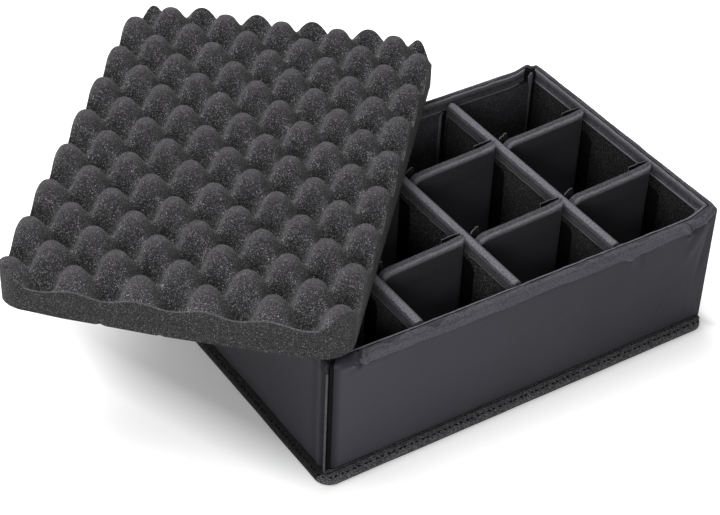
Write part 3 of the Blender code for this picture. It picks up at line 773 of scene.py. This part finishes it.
def base_outline(reach, inset=0.0, corner_steps=10, spacing=HEM_SPACING):
    """Outline of the base at this share of each side's overhang, with points along its straight sides."""
    left = -HALF_LENGTH - LEFT_OVERHANG * reach + inset
    right = HALF_LENGTH + RIGHT_OVERHANG * reach - inset
    front = -HALF_WIDTH - FRONT_OVERHANG * reach + inset
    back = HALF_WIDTH + BACK_OVERHANG * reach - inset
    radius = LEAST_CORNER_RADIUS + (HEM_CORNER_RADIUS - LEAST_CORNER_RADIUS) * reach
    counts = (round(TRAY_LENGTH / spacing), round(TRAY_WIDTH / spacing))
    corners = ((right, back, -1, -1), (left, back, 1, -1), (left, front, 1, 1), (right, front, -1, 1))
    centres = [Vector((x + sign_x * radius, y + sign_y * radius)) for x, y, sign_x, sign_y in corners]
    points = []
    for index, centre in enumerate(centres):
        turn = 90 * index
        points += [centre + radius * Vector((cosine, sine))
                   for _, cosine, sine in arc(turn, turn + 90, corner_steps)]
        cosine, sine = arc(turn, turn + 90, 1)[1][1:]
        after = centres[(index + 1) % 4] + radius * Vector((cosine, sine))
        before = points[-1].copy()
        count = counts[index % 2]
        points += [before.lerp(after, step / count) for step in range(1, count)]
    return points


# Rounded outer face of the hem, as shares of its overhang and of its height
HEM_FACE_shares = ((0.0, 0.0), (0.55, 0.0), (0.90, 0.01), (0.975, 0.08), (1.0, 0.22), (0.985, 0.36),
                   (0.94, 0.52), (0.84, 0.68), (0.68, 0.82), (0.50, 0.92), (0.30, 0.985), (0.12, 1.0),
                   (0.0, 1.0))
HEM_UNEVEN_COLUMNS = range(4, 12)
HEM_TOP_COLUMN = 12


def make_hem():
    """Woven tape bound round the base's edge, slightly uneven, with its inner recess for the board."""
    lip = base_outline(0, HEM_LIP)
    recess = base_outline(BOARD_REACH_share, -GAP)
    outlines = [(lip, 0)]
    outlines += [(base_outline(reach), HEM_TOP * height) for reach, height in HEM_FACE_shares]
    outlines += [(lip, HEM_TOP), (lip, BOARD_TOP + GAP), (recess, BOARD_TOP + GAP),
                 (recess, BOARD_BOTTOM - GAP), (lip, BOARD_BOTTOM - GAP)]
    rings = []
    patches = {}
    for index, inner in enumerate(lip):
        ring = []
        for order, (outline, height) in enumerate(outlines):
            point = outline[index]
            if order in HEM_UNEVEN_COLUMNS:
                height += 0.00035 * drift(0.02, point.x, point.y, 4.0) * ramp(0.0005, 0.003, height)
                outward = Vector((point.x / HALF_LENGTH, point.y / HALF_WIDTH)).normalized()
                point = point + outward * 0.0004 * drift(0.035, point.x, point.y, 8.0)
            ring.append(Vector((point.x, point.y, height)))
        rings.append(ring)
        if inner.x < -HALF_LENGTH + HEM_LIP + 0.0001 and inner.y > -HALF_WIDTH + HEM_LIP + 0.0010:
            patches.update({(index, column): TAPE_SHADE for column in range(len(outlines))})
    loft("base_hem", rings, TAPE, "tray", ("base_hem_tape",), closed_rows=True, sharp=60,
         columns={HEM_TOP_COLUMN: TAPE_SHADE}, patches=patches)


def add_stitch(verts, faces, spot, along):
    """One short dash of thread, leaning a little, at a place on the hem's sloping face."""
    away = Vector((along.y, -along.x))
    sway = 0.35 * drift(0.01, spot.x, spot.y, 3.0)
    height = HEM_TOP * 0.865 + 0.0002 + 0.00035 * drift(0.02, spot.x, spot.y, 4.0)
    centre = Vector((spot.x, spot.y, height))
    slant = Vector((along.x, along.y, 0)) + sway * Vector((away.x, away.y, -0.3))
    run = slant.normalized() * STITCH_HALF_LENGTH
    thick = Vector((away.x * 0.35, away.y * 0.35, 1)).normalized() * STITCH_HALF_THICKNESS
    tall = run.cross(thick).normalized() * STITCH_HALF_WIDTH
    start = len(verts)
    for share, size in ((-1, 0.45), (-0.6, 1), (0.6, 1), (1, 0.45)):
        for side, lift in ((1, 0), (0, 1), (-1, 0), (0, -1)):
            verts.append(centre + run * share + (thick * side + tall * lift) * size)
    for row in range(3):
        for side in range(4):
            here = start + row * 4 + side
            there = start + row * 4 + (side + 1) % 4
            faces.append((here, there, there + 4, here + 4))
    faces.append((start, start + 1, start + 2, start + 3))
    faces.append((start + 12, start + 13, start + 14, start + 15))


def make_stitches():
    """Short dashes of thread in pairs, sewn through the sloping face of the hem."""
    verts = []
    faces = []
    outline = base_outline(STITCH_REACH_share, corner_steps=14, spacing=FINE_SPACING)
    travelled = 0.0
    mark = 0.0
    marks = 0
    for index, point in enumerate(outline):
        run = outline[(index + 1) % len(outline)] - point
        while mark < travelled + run.length:
            spot = point.lerp(point + run, (mark - travelled) / run.length)
            add_stitch(verts, faces, spot, run.normalized())
            marks += 1
            mark += STITCH_SPACINGS[marks % 2]
        travelled += run.length
    make_piece("hem_stitches", verts, faces, THREAD, "tray", ())


def grid_faces(start, rows, columns):
    """Faces of a grid of points that are numbered row by row from start."""
    faces = []
    width = columns + 1
    for row in range(rows):
        for column in range(columns):
            corner = start + row * width + column
            faces.append((corner, corner + 1, corner + width + 1, corner + width))
    return faces


def grid_border(rows, columns):
    """Row and column of each point on the edge of a grid, in order."""
    border = [(0, column) for column in range(columns + 1)]
    border += [(row, columns) for row in range(1, rows + 1)]
    border += [(rows, column) for column in range(columns - 1, -1, -1)]
    border += [(row, 0) for row in range(rows - 1, 0, -1)]
    return border


def make_base_sheet(name, node, material, bottom, top, swell):
    """A thin sheet of the base, with slow unevenness on its open face."""
    low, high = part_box(node)
    columns = 60
    rows = 40
    verts = []
    for face, height in enumerate((bottom, top)):
        for row in range(rows + 1):
            for column in range(columns + 1):
                x = low.x + (high.x - low.x) * column / columns
                y = low.y + (high.y - low.y) * row / rows
                z = height
                if min(column, columns - column, row, rows - row) and (face == 1) == (swell > 0):
                    z += swell * 0.5 * (1 + drift(0.03, x, y, 2.0))
                verts.append((x, y, z))
    size = (rows + 1) * (columns + 1)
    faces = grid_faces(0, rows, columns) + grid_faces(size, rows, columns)
    border = [row * (columns + 1) + column for row, column in grid_border(rows, columns)]
    for index, vert in enumerate(border):
        after = border[(index + 1) % len(border)]
        faces.append((vert, after, after + size, vert + size))
    piece = make_piece(name, verts, faces, material, "tray", (node,), sharp=60)


def long_divider_x(name):
    """Place of a long divider along the tray."""
    return INSIDE_LENGTH * (LONG_DIVIDER_shares[name] - 0.5)


def end_share(from_end):
    """Share of a padded panel's thickness near its end."""
    return PANEL_END_share + (1 - PANEL_END_share) * math.sin(min(from_end / PANEL_END_EASE, 1) * math.pi / 2)


def make_divider_core(prefix, x, half_panel, seed, body):
    """Loop panel of a long divider, rounded at its top and thinner at its ends."""
    shoulder = LONG_DIVIDER_TOP - BINDING_THICKNESS - GAP - LONG_PANEL_THICKNESS / 2
    heights = steps(CELL_FLOOR, shoulder, 24)
    rings = []
    for y in steps(-half_panel, half_panel, 70):
        radius = LONG_PANEL_THICKNESS / 2 * end_share(half_panel - abs(y))
        sides = {}
        for side in (1, -1):
            sides[side] = []
            for height in heights:
                puff = 0.00012 * drift(0.014, y, height, seed + side)
                sides[side].append(Vector((x + side * (radius + puff - RELIEF_GAP), y, height)))
        over = [Vector((x + radius * cosine, y, shoulder + radius * sine))
                for _, cosine, sine in arc(0, 180, 8)]
        rings.append(sides[1] + over[1:-1] + sides[-1][::-1])
    loft(prefix + "_core", rings, LOOP, body, (prefix + "_panel",), sharp=70)


def binding_side(side, y, inner, outer, centre, seed):
    """One side of a folded binding from its hem up, as the points outside and the points inside."""
    edge = LONG_DIVIDER_TOP - BINDING_DEPTH + 0.0008 * drift(0.009, y, seed + 5 * side)
    edge += 0.0004 * drift(0.0035, y, seed + 9 * side)
    outside = []
    for share in steps(0, 1, BINDING_SIDE_STEPS)[:-1]:
        row = edge + (centre - edge) * share
        flare = 0.00028 * drift(0.008, y, row, seed + side) - RELIEF_GAP - 0.0005 * hump(share, 0.86, 0.1)
        outside.append((side * (outer + flare), row))
    inside = [(side * inner, edge + (centre - edge) * share) for share in steps(0, 1, 5)[:-1]]
    return outside, inside


def binding_ring(x, y, half_binding, seed):
    """Section of a folded binding: up one side, over the panel, down the other, and back along its inside."""
    pinch = 1 - ramp(0, 0.0011, half_binding - abs(y))
    inner = LONG_PANEL_THICKNESS / 2 + GAP * 0.7
    outer = inner + BINDING_THICKNESS + 0.0002 * drift(0.02, y, seed)
    centre = LONG_DIVIDER_TOP - outer
    right_outside, right_inside = binding_side(1, y, inner, outer, centre, seed)
    left_outside, left_inside = binding_side(-1, y, inner, outer, centre, seed)
    over = []
    for angle, cosine, sine in arc(0, 180, BINDING_ARC_STEPS):
        crease = 0.0004 * hump(angle, 58 + 8 * drift(0.03, y, seed), 9)
        crease += 0.0003 * hump(angle, 128 + 10 * drift(0.02, y, seed + 3), 8)
        reach = outer - crease + 0.0001 * drift(0.006, y, angle / 9000, seed)
        over.append((reach * cosine, centre + reach * sine))
    under = [(inner * cosine, centre + inner * sine) for _, cosine, sine in arc(0, 180, 8)]
    ring = []
    for across, height in right_outside + over + left_outside[::-1]:
        ring.append(Vector((x + across * (1 - 0.30 * pinch), y, height + (centre - height) * 0.10 * pinch)))
    closed = 0.96 * pinch
    for across, height in reversed(right_inside + under + left_inside[::-1]):
        drop = (centre - height) * closed * ramp(0.0, 0.003, height - centre + 0.003)
        ring.append(Vector((x + across * (1 - closed), y, height + drop)))
    return ring


def make_long_divider(name):
    """Loop panel, folded nylon binding, end hooks and spread tab of a long divider."""
    body = "right_long_divider" if name == "right" else "tray"
    prefix = "long_divider_" + name
    x = long_divider_x(name)
    seed = x * 40
    half_binding = INSIDE_WIDTH / 2 - GAP
    make_divider_core(prefix, x, half_binding - HOOK_THICKNESS - GAP, seed, body)

    near_end = (0, 0.0003, 0.0007, 0.0011, 0.0016)
    places = [-half_binding + distance for distance in near_end]
    places += steps(-half_binding + 0.003, half_binding - 0.003, 110)
    places += [half_binding - distance for distance in reversed(near_end)]
    rings = [binding_ring(x, y, half_binding, seed) for y in places]
    outer_count = 2 * BINDING_SIDE_STEPS + BINDING_ARC_STEPS + 1
    # painted highlights along the binding's lower edges, and painted light over its top: a band, then a
    # lighter crest
    columns = {outer_count - 1: EDGE, len(rings[0]) - 1: EDGE, 0: EDGE, outer_count - 2: EDGE}
    for column in range(BINDING_SIDE_STEPS + 3, BINDING_SIDE_STEPS + 12):
        columns[column] = CREST if column > BINDING_SIDE_STEPS + 5 else BAND
    loft(prefix + "_cap", rings, FLAP, body, (prefix + "_binding",), sharp=60,
         columns=columns)

    for end, sign in (("front", -1), ("back", 1)):
        width = LONG_PANEL_THICKNESS * 0.75
        make_hook(prefix + "_hook_" + end, x, sign * half_binding, width, -sign * HOOK_THICKNESS, True, body)
    make_wing(prefix, x, body)


def make_wing(prefix, x, body):
    """The hook tab at the back end of a long divider, spread over the wall's lining to the left."""
    near = INSIDE_WIDTH / 2 - GAP - RELIEF_GAP
    rings = []
    for height in steps(HOOK_BOTTOM, LONG_DIVIDER_TOP - 0.0060, 40):
        reach = 0.0118 + 0.0007 * drift(0.02, height, x) + 0.0004 * drift(0.006, height, x + 3)
        reach -= 0.0035 * (ramp(0.0995, 0.1085, height)) ** 2
        curl = 0.0012 + 0.0004 * drift(0.012, height, x + 6)
        outline = ((0.0050, 0.0010), (0.0070, 0.0008), (0.0095, curl), (reach, 0.0015),
                   (reach + 0.0005, 0.0009), (reach, 0.0003), (0.0095, 0), (0.0050, 0))
        rings.append([Vector((x - across, near - away, height)) for across, away in outline])
    # painted highlight along its curled edge
    loft(prefix + "_wing_back", rings, HOOK, body, (), sharp=60,
         columns={2: LIP, 3: EDGE, 4: EDGE})


def make_hook(node, x, y, width, depth, across_x, body):
    """A thin hook strip standing on end, its depth towards the panel that it is sewn to."""
    rings = []
    for height in steps(HOOK_BOTTOM, HOOK_TOP, 26):
        corner = min(height - HOOK_BOTTOM, HOOK_TOP - height)
        half = width / 2
        radius = min(HOOK_CORNER_RADIUS, half)
        if corner < radius:
            half -= radius - math.sqrt(max(radius ** 2 - (radius - corner) ** 2, 0))
        half = max(half, 0.0004)
        ring = []
        for near, ends in ((0, steps(-half, half, 6)), (1, steps(half, -half, 6))):
            reach = depth * (0.04 + 0.92 * near)
            for across in ends:
                point = (x + across, y + reach) if across_x else (x + reach, y + across)
                ring.append(Vector((*point, height)))
        rings.append(ring)
    loft(node + "_strip", rings, HOOK, body, (node,), sharp=50)


def shoulder_fall(from_end, radius):
    """How far a rounded shoulder lies below its top."""
    inward = max(radius - from_end, 0)
    return radius - math.sqrt(max(radius ** 2 - inward ** 2, 0))


def cross_profile(front, back, top, seed, s):
    """Section of a cross divider, up its front, over its top and down its back.

    Each point is (across, height, part).
    """
    edge = top - CROSS_LIP_DEPTH
    profile = []
    for share in steps(0, 1, 18):
        puff = 0.0001 * drift(0.02, s, share * 0.1, seed) - RELIEF_GAP - 0.0004 * hump(share, 1.0, 0.04)
        profile.append((front - puff, CELL_FLOOR + (edge - CELL_FLOOR) * share, "panel"))
    lip = front - 0.0004
    deep = min(0.0030, (back - front) * 0.42)
    crease = top - 0.0009 - 0.0003 * drift(0.01, s, seed)
    profile += [(lip, edge + 0.0002, "lip"), (lip - 0.0002, edge + 0.0009, "lip"),
                (lip - 0.0001, edge + 0.0017, "lip"), (lip + 0.0004, top - EDGE_ROUND + 0.0002, "lip"),
                (front + deep * 0.45, top - 0.0004, "lip"), (front + deep * 0.74, top - 0.0006, "crease"),
                (front + deep * 0.85, crease, "lip"), (front + deep, top - 0.0005, "crest")]
    for share in steps(0, 1, 5)[1:]:
        reach = front + deep + (back - 0.0012 - front - deep) * share
        rise = 0.0001 * math.sin(math.pi * share) + 0.0003 * drift(0.007, s, share * 0.003, seed + 2)
        profile.append((reach, top - 0.0003 + rise, "crest"))
    for _, cosine, sine in arc(60, 0, 2):
        profile.append((back - 0.0012 + 0.0014 * cosine, top - 0.0014 + EDGE_ROUND * sine, "rim"))
    for share in steps(0, 1, 3)[1:]:
        profile.append((back + 0.0002, top - 0.0014 - (CROSS_BAND_DEPTH - 0.0014) * share, "band"))
    below = top - CROSS_BAND_DEPTH - 0.0002 - CELL_FLOOR
    for share in steps(1, 0, 14):
        profile.append((back - RELIEF_GAP, CELL_FLOOR + below * share, "panel"))
    return profile


def make_cross_panel(prefix, x, y, half_run, seed):
    """Padded nylon cross panel with a folded top band and pinched ends."""
    half = CROSS_PANEL_THICKNESS / 2
    eased = [1 - cosine for _, cosine, _ in arc(0, 90, 9)]
    places = [-half_run + CROSS_LEFT_SHOULDER * share for share in eased]
    places += steps(places[-1], half_run - END_ROUND, 34)[1:-1]
    places += [half_run - END_ROUND * share for share in reversed(eased)]
    rings = []
    for s in places:
        from_left = s + half_run
        from_right = half_run - s
        top = CROSS_DIVIDER_TOP - CROSS_FALL * (1 - s / half_run) / 2 + 0.0003 * drift(0.018, s, seed)
        top -= shoulder_fall(from_left, CROSS_LEFT_SHOULDER)
        top += 0.0011 * ramp(0.016, 0.001, from_right)
        pinch = shoulder_fall(from_right, END_ROUND) / END_ROUND
        back = half * end_share(from_left)
        front = (2 * half - 0.0016) * shoulder_fall(from_right, END_ROUND) / END_ROUND - back
        profile = cross_profile(front, back, top, seed, s)
        ring = []
        for across, height, part in profile:
            if part in ("lip", "crease"):
                height += (top - height) * 0.75 * pinch
            ring.append(Vector((x + s, y + across, height)))
        rings.append(ring)
    # painted highlights on the lip and rim, painted shade in the crease
    paints = {"lip": LIP, "crease": PAINTED_SHADE, "crest": FLAP, "rim": CREST, "band": FLAP}
    parts = [part for *_, part in profile]
    columns = {index: paints[part] for index, part in enumerate(parts) if part in paints}
    patches = {}
    # painted shade at the right end, where the panel meets its hook strip
    for row, s in enumerate(places[:-1]):
        paint = HOOK if row < 2 else PAINTED_SHADE if half_run - s < 0.0030 else None
        if paint:
            patches.update({(row, index): paint for index, part in enumerate(parts) if part == "panel"})
    loft(prefix + "_pad", rings, PANEL, prefix, (prefix + "_panel",), columns=columns,
         patches=patches, sharp=80)


def make_cross_divider(prefix, left, right, y):
    """A cross divider: its padded panel, hook strips at both ends, and hook tabs folded back behind them."""
    x = (left + right) / 2
    half_column = (right - left) / 2
    half_run = half_column - HOOK_SPACE
    half = CROSS_PANEL_THICKNESS / 2
    seed = int(prefix[-1]) * 3.1 + (7 if "back" in prefix else 0)
    make_cross_panel(prefix, x, y, half_run, seed)
    for end, sign in (("left", -1), ("right", 1)):
        make_hook(prefix + "_hook_" + end, x + sign * (half_column - GAP), y, CROSS_HOOK_WIDTH,
                  -sign * HOOK_THICKNESS, False, prefix)
    path = []
    for share in steps(0, 1, 9):
        behind = half + 0.0008 + 0.0042 * share ** 0.8 - 0.0006 * share * share
        path.append((half_run - 0.0004 - 0.0150 * share, behind))
    make_flap(prefix, "right", x, y, path, CROSS_DIVIDER_TOP + 0.0002, 0.0035, 0.0014, 0.0016, seed)
    path = []
    for share in steps(0, 1, 24):
        behind = half + 0.0012 + 0.0022 * share + 0.0008 * math.sin(10 * share) ** 2
        path.append((-half_run + 0.0014 + 0.0084 * share + 0.0004 * math.sin(15 * share), behind))
    left_top = CROSS_DIVIDER_TOP - CROSS_FALL - 0.0022
    make_flap(prefix, "left", x, y, path, left_top, -0.0026, 0.0026, 0.0042, seed + 5)


def make_flap(prefix, end, x, y, path, top, fall, crumple, lean, seed):
    """A hook tab folded back behind the end of a divider, its top edge crumpled."""
    rings = []
    for index, (along, across) in enumerate(path):
        share = index / (len(path) - 1)
        before = Vector(path[max(index - 1, 0)])
        after = Vector(path[min(index + 1, len(path) - 1)])
        run = (after - before).normalized()
        normal = Vector((-run.y, run.x)) * (1 if run.x < 0 else -1)
        crumpled = crumple * drift(0.004, along, seed) * math.sin(math.pi * min(share + 0.15, 1))
        edge = top - fall * share + crumpled
        heights = [edge - depth for depth in FLAP_DEPTHS]
        spot_x = x + along
        spot_y = y + across
        ring = []
        for near, order in ((0, heights), (1, heights[::-1])):
            for height in order:
                wave = 0.0005 * drift(0.006, along, height, seed + 3) * share
                hang = lean * max(0, 1 - (edge - height) / 0.0075) ** 1.4
                reach = wave + near * FLAP_THICKNESS
                ring.append(Vector((spot_x - normal.x * reach, spot_y + hang - normal.y * reach, height)))
            if near == 0:
                reach = wave + FLAP_THICKNESS / 2
                ring.append(Vector((spot_x - normal.x * reach, spot_y + lean - normal.y * reach, edge)))
        rings.append(ring)
    # painted highlight along its top edge and end
    piece = loft(prefix + "_flap_" + end, rings, HOOK, prefix, (), sharp=60,
                 columns={6: LIP, 7: LIP})
    repaint(piece, -1, LIP)


def make_cross_dividers():
    """Two cross dividers in each column, between the faces that they grip."""
    half_panel = LONG_PANEL_THICKNESS / 2
    half_inside = HALF_LENGTH - LINING_FACE
    places = [long_divider_x(name) for name in LONG_DIVIDER_shares]
    lefts = [-half_inside] + [place + half_panel for place in places]
    rights = [place - half_panel for place in places] + [half_inside]
    for row, shares in (("front", FRONT_ROW_shares), ("back", BACK_ROW_shares)):
        for column, (left, right, share) in enumerate(zip(lefts, rights, shares), start=1):
            make_cross_divider(f"cross_divider_{row}_{column}", left, right, INSIDE_WIDTH * (share - 0.5))


def foam_height(x, y):
    """Height of the convoluted surface above the pad's underside, from the pad's low corner."""
    along = math.cos(math.tau * (x - PEAK_START_ALONG) / PITCH_ALONG)
    across = math.cos(math.tau * (y - PEAK_START_ACROSS) / PITCH_ACROSS)
    wave = along * across
    wide = math.sin(wave * math.pi / 2)
    saddle = (PAD_THICKNESS + PAD_VALLEY_THICKNESS) / 2 + 0.0006
    if wave > 0:
        height = saddle + (PAD_THICKNESS - saddle) * wide
    else:
        narrow = 0.445 * wave + 1.36 * wave ** 3 - 0.805 * wave ** 5
        height = saddle + (saddle - PAD_VALLEY_THICKNESS) * (0.8 * wide + 0.2 * narrow)
    return height - 0.0024 * ramp(PAD_LENGTH - 0.026, PAD_LENGTH, x) * height / PAD_THICKNESS


def underside(x, y):
    """Height of the pad's underside: its front cut is nicked and lifts a little towards the left."""
    lift = 0.0032 * ramp(0.125, 0.215, y) + 0.0030 * ramp(0.205, 0.250, y) + 0.0022 * ramp(0.030, 0.004, y)
    nick = 0.0016 * hump(y, 0.1835, 0.0022) + 0.0012 * hump(y, 0.1389, 0.0016)
    nick += 0.0009 * hump(y, 0.0560, 0.0020)
    return (lift * ramp(0.030, 0.0, x) + nick * ramp(0.005, 0.0, x)) * 0.9


def make_foam_pad():
    """The convoluted pad on a fine grid, cut off straight at its sides."""
    half_length = PAD_LENGTH / 2
    half_width = PAD_WIDTH / 2
    radius = PAD_CORNER_RADIUS
    straight = half_width - radius
    sines = [sine for *_, sine in arc(0, 90, PAD_CORNER_STEPS)]
    rows = [-straight - radius * sine for sine in reversed(sines)]
    rows += steps(-straight, straight, round(2 * straight / FINE_SPACING))[1:-1]
    rows += [straight + radius * sine for sine in sines]
    columns = round(PAD_LENGTH / FINE_SPACING)
    width = columns + 1
    place = Matrix.Translation(PAD_CENTRE) @ Matrix.Rotation(PAD_TURN, 4, "Z")

    def point(row, column, level):
        """A point of the pad, at a share of the way from its underside to its top."""
        y = rows[row]
        reach = half_length
        if abs(y) > straight:
            reach = half_length - radius + math.sqrt(max(radius ** 2 - (abs(y) - straight) ** 2, 0))
        x = reach * (-1 + 2 * column / columns)
        foot = underside(x + half_length, y + half_width)
        height = foam_height(x + half_length, y + half_width) + 0.0005 * drift(0.02, x, y, 7.0)
        z = {0: foot, 1: height}.get(level, foot + (height - foot) * level)
        z += 0.0004 * drift(0.06, x, y, 3.0) * ramp(0, 0.004, z)
        return place @ Vector((x, y, z))

    grid = [(row, column) for row in range(len(rows)) for column in range(width)]
    verts = [point(row, column, 1) for row, column in grid] + [point(row, column, 0) for row, column in grid]
    top_faces = grid_faces(0, len(rows) - 1, columns)
    faces = top_faces + [(first + len(grid), fourth + len(grid), third + len(grid), second + len(grid))
                         for first, second, third, fourth in top_faces]
    border = grid_border(len(rows) - 1, columns)
    loops = [[len(grid) + row * width + column for row, column in border]]
    for level in (0.03, 0.10, 0.3, 0.5, 0.7, 0.85, 0.945):
        loops.append(range(len(verts), len(verts) + len(border)))
        verts += [point(row, column, level) for row, column in border]
    loops.append([row * width + column for row, column in border])
    painted = {}
    for lower, upper in zip(loops, loops[1:]):
        for index, (row, column) in enumerate(border):
            after = (index + 1) % len(border)
            # painted highlight on the top strip of the front cut, painted light on the side along the first
            # row
            if upper is loops[-1] and column == 0 and abs(rows[row]) < straight:
                painted[len(faces)] = FOAM_EDGE
            else:
                painted[len(faces)] = FOAM_CUT if row > 0 else FOAM_SIDE
            faces.append((lower[index], lower[after], upper[after], upper[index]))
    make_piece("convoluted_pad", verts, faces, FOAM, "pad", ("foam_pad",), 58, painted)


def make_floor():
    """A pale floor with painted light: a glow seen only by the camera fades it to white away from the
    object's shadow.
    """
    mesh = bpy.data.meshes.new("studio_floor")
    size = 6.0
    corners = [(-size, -size, 0), (size, -size, 0), (size, size, 0), (-size, size, 0)]
    mesh.from_pydata(corners, [], [(0, 1, 2, 3)])
    floor = bpy.data.objects.new("studio_floor", mesh)
    floor.location = (0, 0, -0.0005)
    bpy.context.scene.collection.objects.link(floor)
    g = Graph("studio_floor")
    x, y, _ = g.place()
    # painted light: the camera-only glow grows away from the tray and stays low in the shadow beside it
    leftward = g.math("ADD", g.math("MULTIPLY", x, -0.93), g.math("MULTIPLY", y, -0.37))
    lift = g.map(leftward, 0.196, 0.240, 0.07, 0.50)
    forward = g.math("MULTIPLY", y, -1.0)
    for away, low, high in ((forward, 0.1195, 0.1345), (x, 0.184, 0.196), (y, 0.13, 0.20)):
        lift = g.math("MAXIMUM", lift, g.map(away, low, high, 0.0, 0.42))
    seen = g.add("ShaderNodeLightPath", {}).outputs["Is Camera Ray"]
    values = {"Base Color": (0.92, 0.92, 0.92), "Roughness": 1.0, "Specular IOR Level": 0.0,
              "Emission Color": (1, 1, 1), "Emission Strength": g.math("MULTIPLY", lift, seen)}
    for key, value in values.items():
        g.feed(g.shader.inputs[key], value)
    mesh.materials.append(g.material)


def make_world():
    """White to the camera, and a soft fill for everything else."""
    world = bpy.data.worlds.new("studio")
    bpy.context.scene.world = world
    world.use_nodes = True
    tree = world.node_tree
    tree.nodes.clear()
    output = tree.nodes.new("ShaderNodeOutputWorld")
    choose = tree.nodes.new("ShaderNodeMixShader")
    light_path = tree.nodes.new("ShaderNodeLightPath")
    tree.links.new(light_path.outputs["Is Camera Ray"], choose.inputs[0])
    for socket, strength in ((1, 0.27), (2, 1.0)):
        background = tree.nodes.new("ShaderNodeBackground")
        background.inputs["Color"].default_value = (1, 1, 1, 1)
        background.inputs["Strength"].default_value = strength
        tree.links.new(background.outputs[0], choose.inputs[socket])
    tree.links.new(choose.outputs[0], output.inputs[0])


def add_softbox(name, location, target, size, watts):
    """A rectangular soft light turned towards a target."""
    lamp = bpy.data.lights.new(name, "AREA")
    lamp.shape = "RECTANGLE"
    lamp.size, lamp.size_y = size
    lamp.energy = watts
    softbox = bpy.data.objects.new(name, lamp)
    softbox.location = location
    softbox.rotation_euler = (Vector(target) - Vector(location)).to_track_quat("-Z", "Y").to_euler()
    bpy.context.scene.collection.objects.link(softbox)


def make_camera():
    """Camera at the angle of the photograph."""
    pitch, yaw, roll = 0.66904355, -0.59986183, 0.04491555
    image_width = 720
    focal_length_in_pixels = 1988.37
    forward = Vector((-math.sin(yaw) * math.cos(pitch), math.cos(yaw) * math.cos(pitch), -math.sin(pitch)))
    level = Vector((math.cos(yaw), math.sin(yaw), 0))
    raised = level.cross(forward)
    right = math.cos(roll) * level + math.sin(roll) * raised
    up = -math.sin(roll) * level + math.cos(roll) * raised
    data = bpy.data.cameras.new("camera")
    data.sensor_width = 36
    data.lens = focal_length_in_pixels * data.sensor_width / image_width
    data.clip_start = 0.05
    data.clip_end = 60
    camera = bpy.data.objects.new("camera", data)
    turn = Matrix((right, up, -forward)).transposed()
    camera.matrix_world = Matrix.Translation((-0.76865, -1.01093, 1.05661)) @ turn.to_4x4()
    bpy.context.scene.collection.objects.link(camera)
    bpy.context.scene.camera = camera


for wall in WALLS:
    make_wall(wall)
    make_lining(wall)
make_corner_tape("front_left", -1, -1, 0, FRONT_LEFT_FALL)
make_corner_tape("front_right", 1, -1, 90, 0)
make_corner_tape("back_right", 1, 1, 180, 0, 0.0050)
make_corner_tape("back_left", -1, 1, 270, 0)
make_hem()
make_stitches()
lining_top = CELL_FLOOR - GAP - 0.00025
make_base_sheet("base_floor", "base_lining", LOOP, BOARD_TOP + GAP, lining_top, SHEET_SWELL)
make_base_sheet("base_under", "base_underside", NYLON, 0.0002, SHEET_THICKNESS, -0.0002)
board_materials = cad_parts["base_board"].data.materials
board_materials.clear()
board_materials.append(BOARD)
for divider in LONG_DIVIDER_shares:
    make_long_divider(divider)
make_cross_dividers()
make_foam_pad()
make_floor()
make_world()
add_softbox("softbox_top", (-0.25, 0.70, 2.0), (0, 0, 0.1), (1.8, 1.6), 42)
add_softbox("softbox_left", (-1.05, 0.95, 1.45), (-0.1, 0, 0.1), (1.4, 1.4), 6)
add_softbox("softbox_front", (-0.72, -0.80, 0.52), (-0.15, 0, 0.06), (0.5, 0.4), 4.2)
add_softbox("softbox_back", (0.3, 1.9, 1.3), (0, 0, 0.1), (2.6, 1.2), 9)
make_camera()
bpy.context.scene.view_settings.view_transform = "Standard"
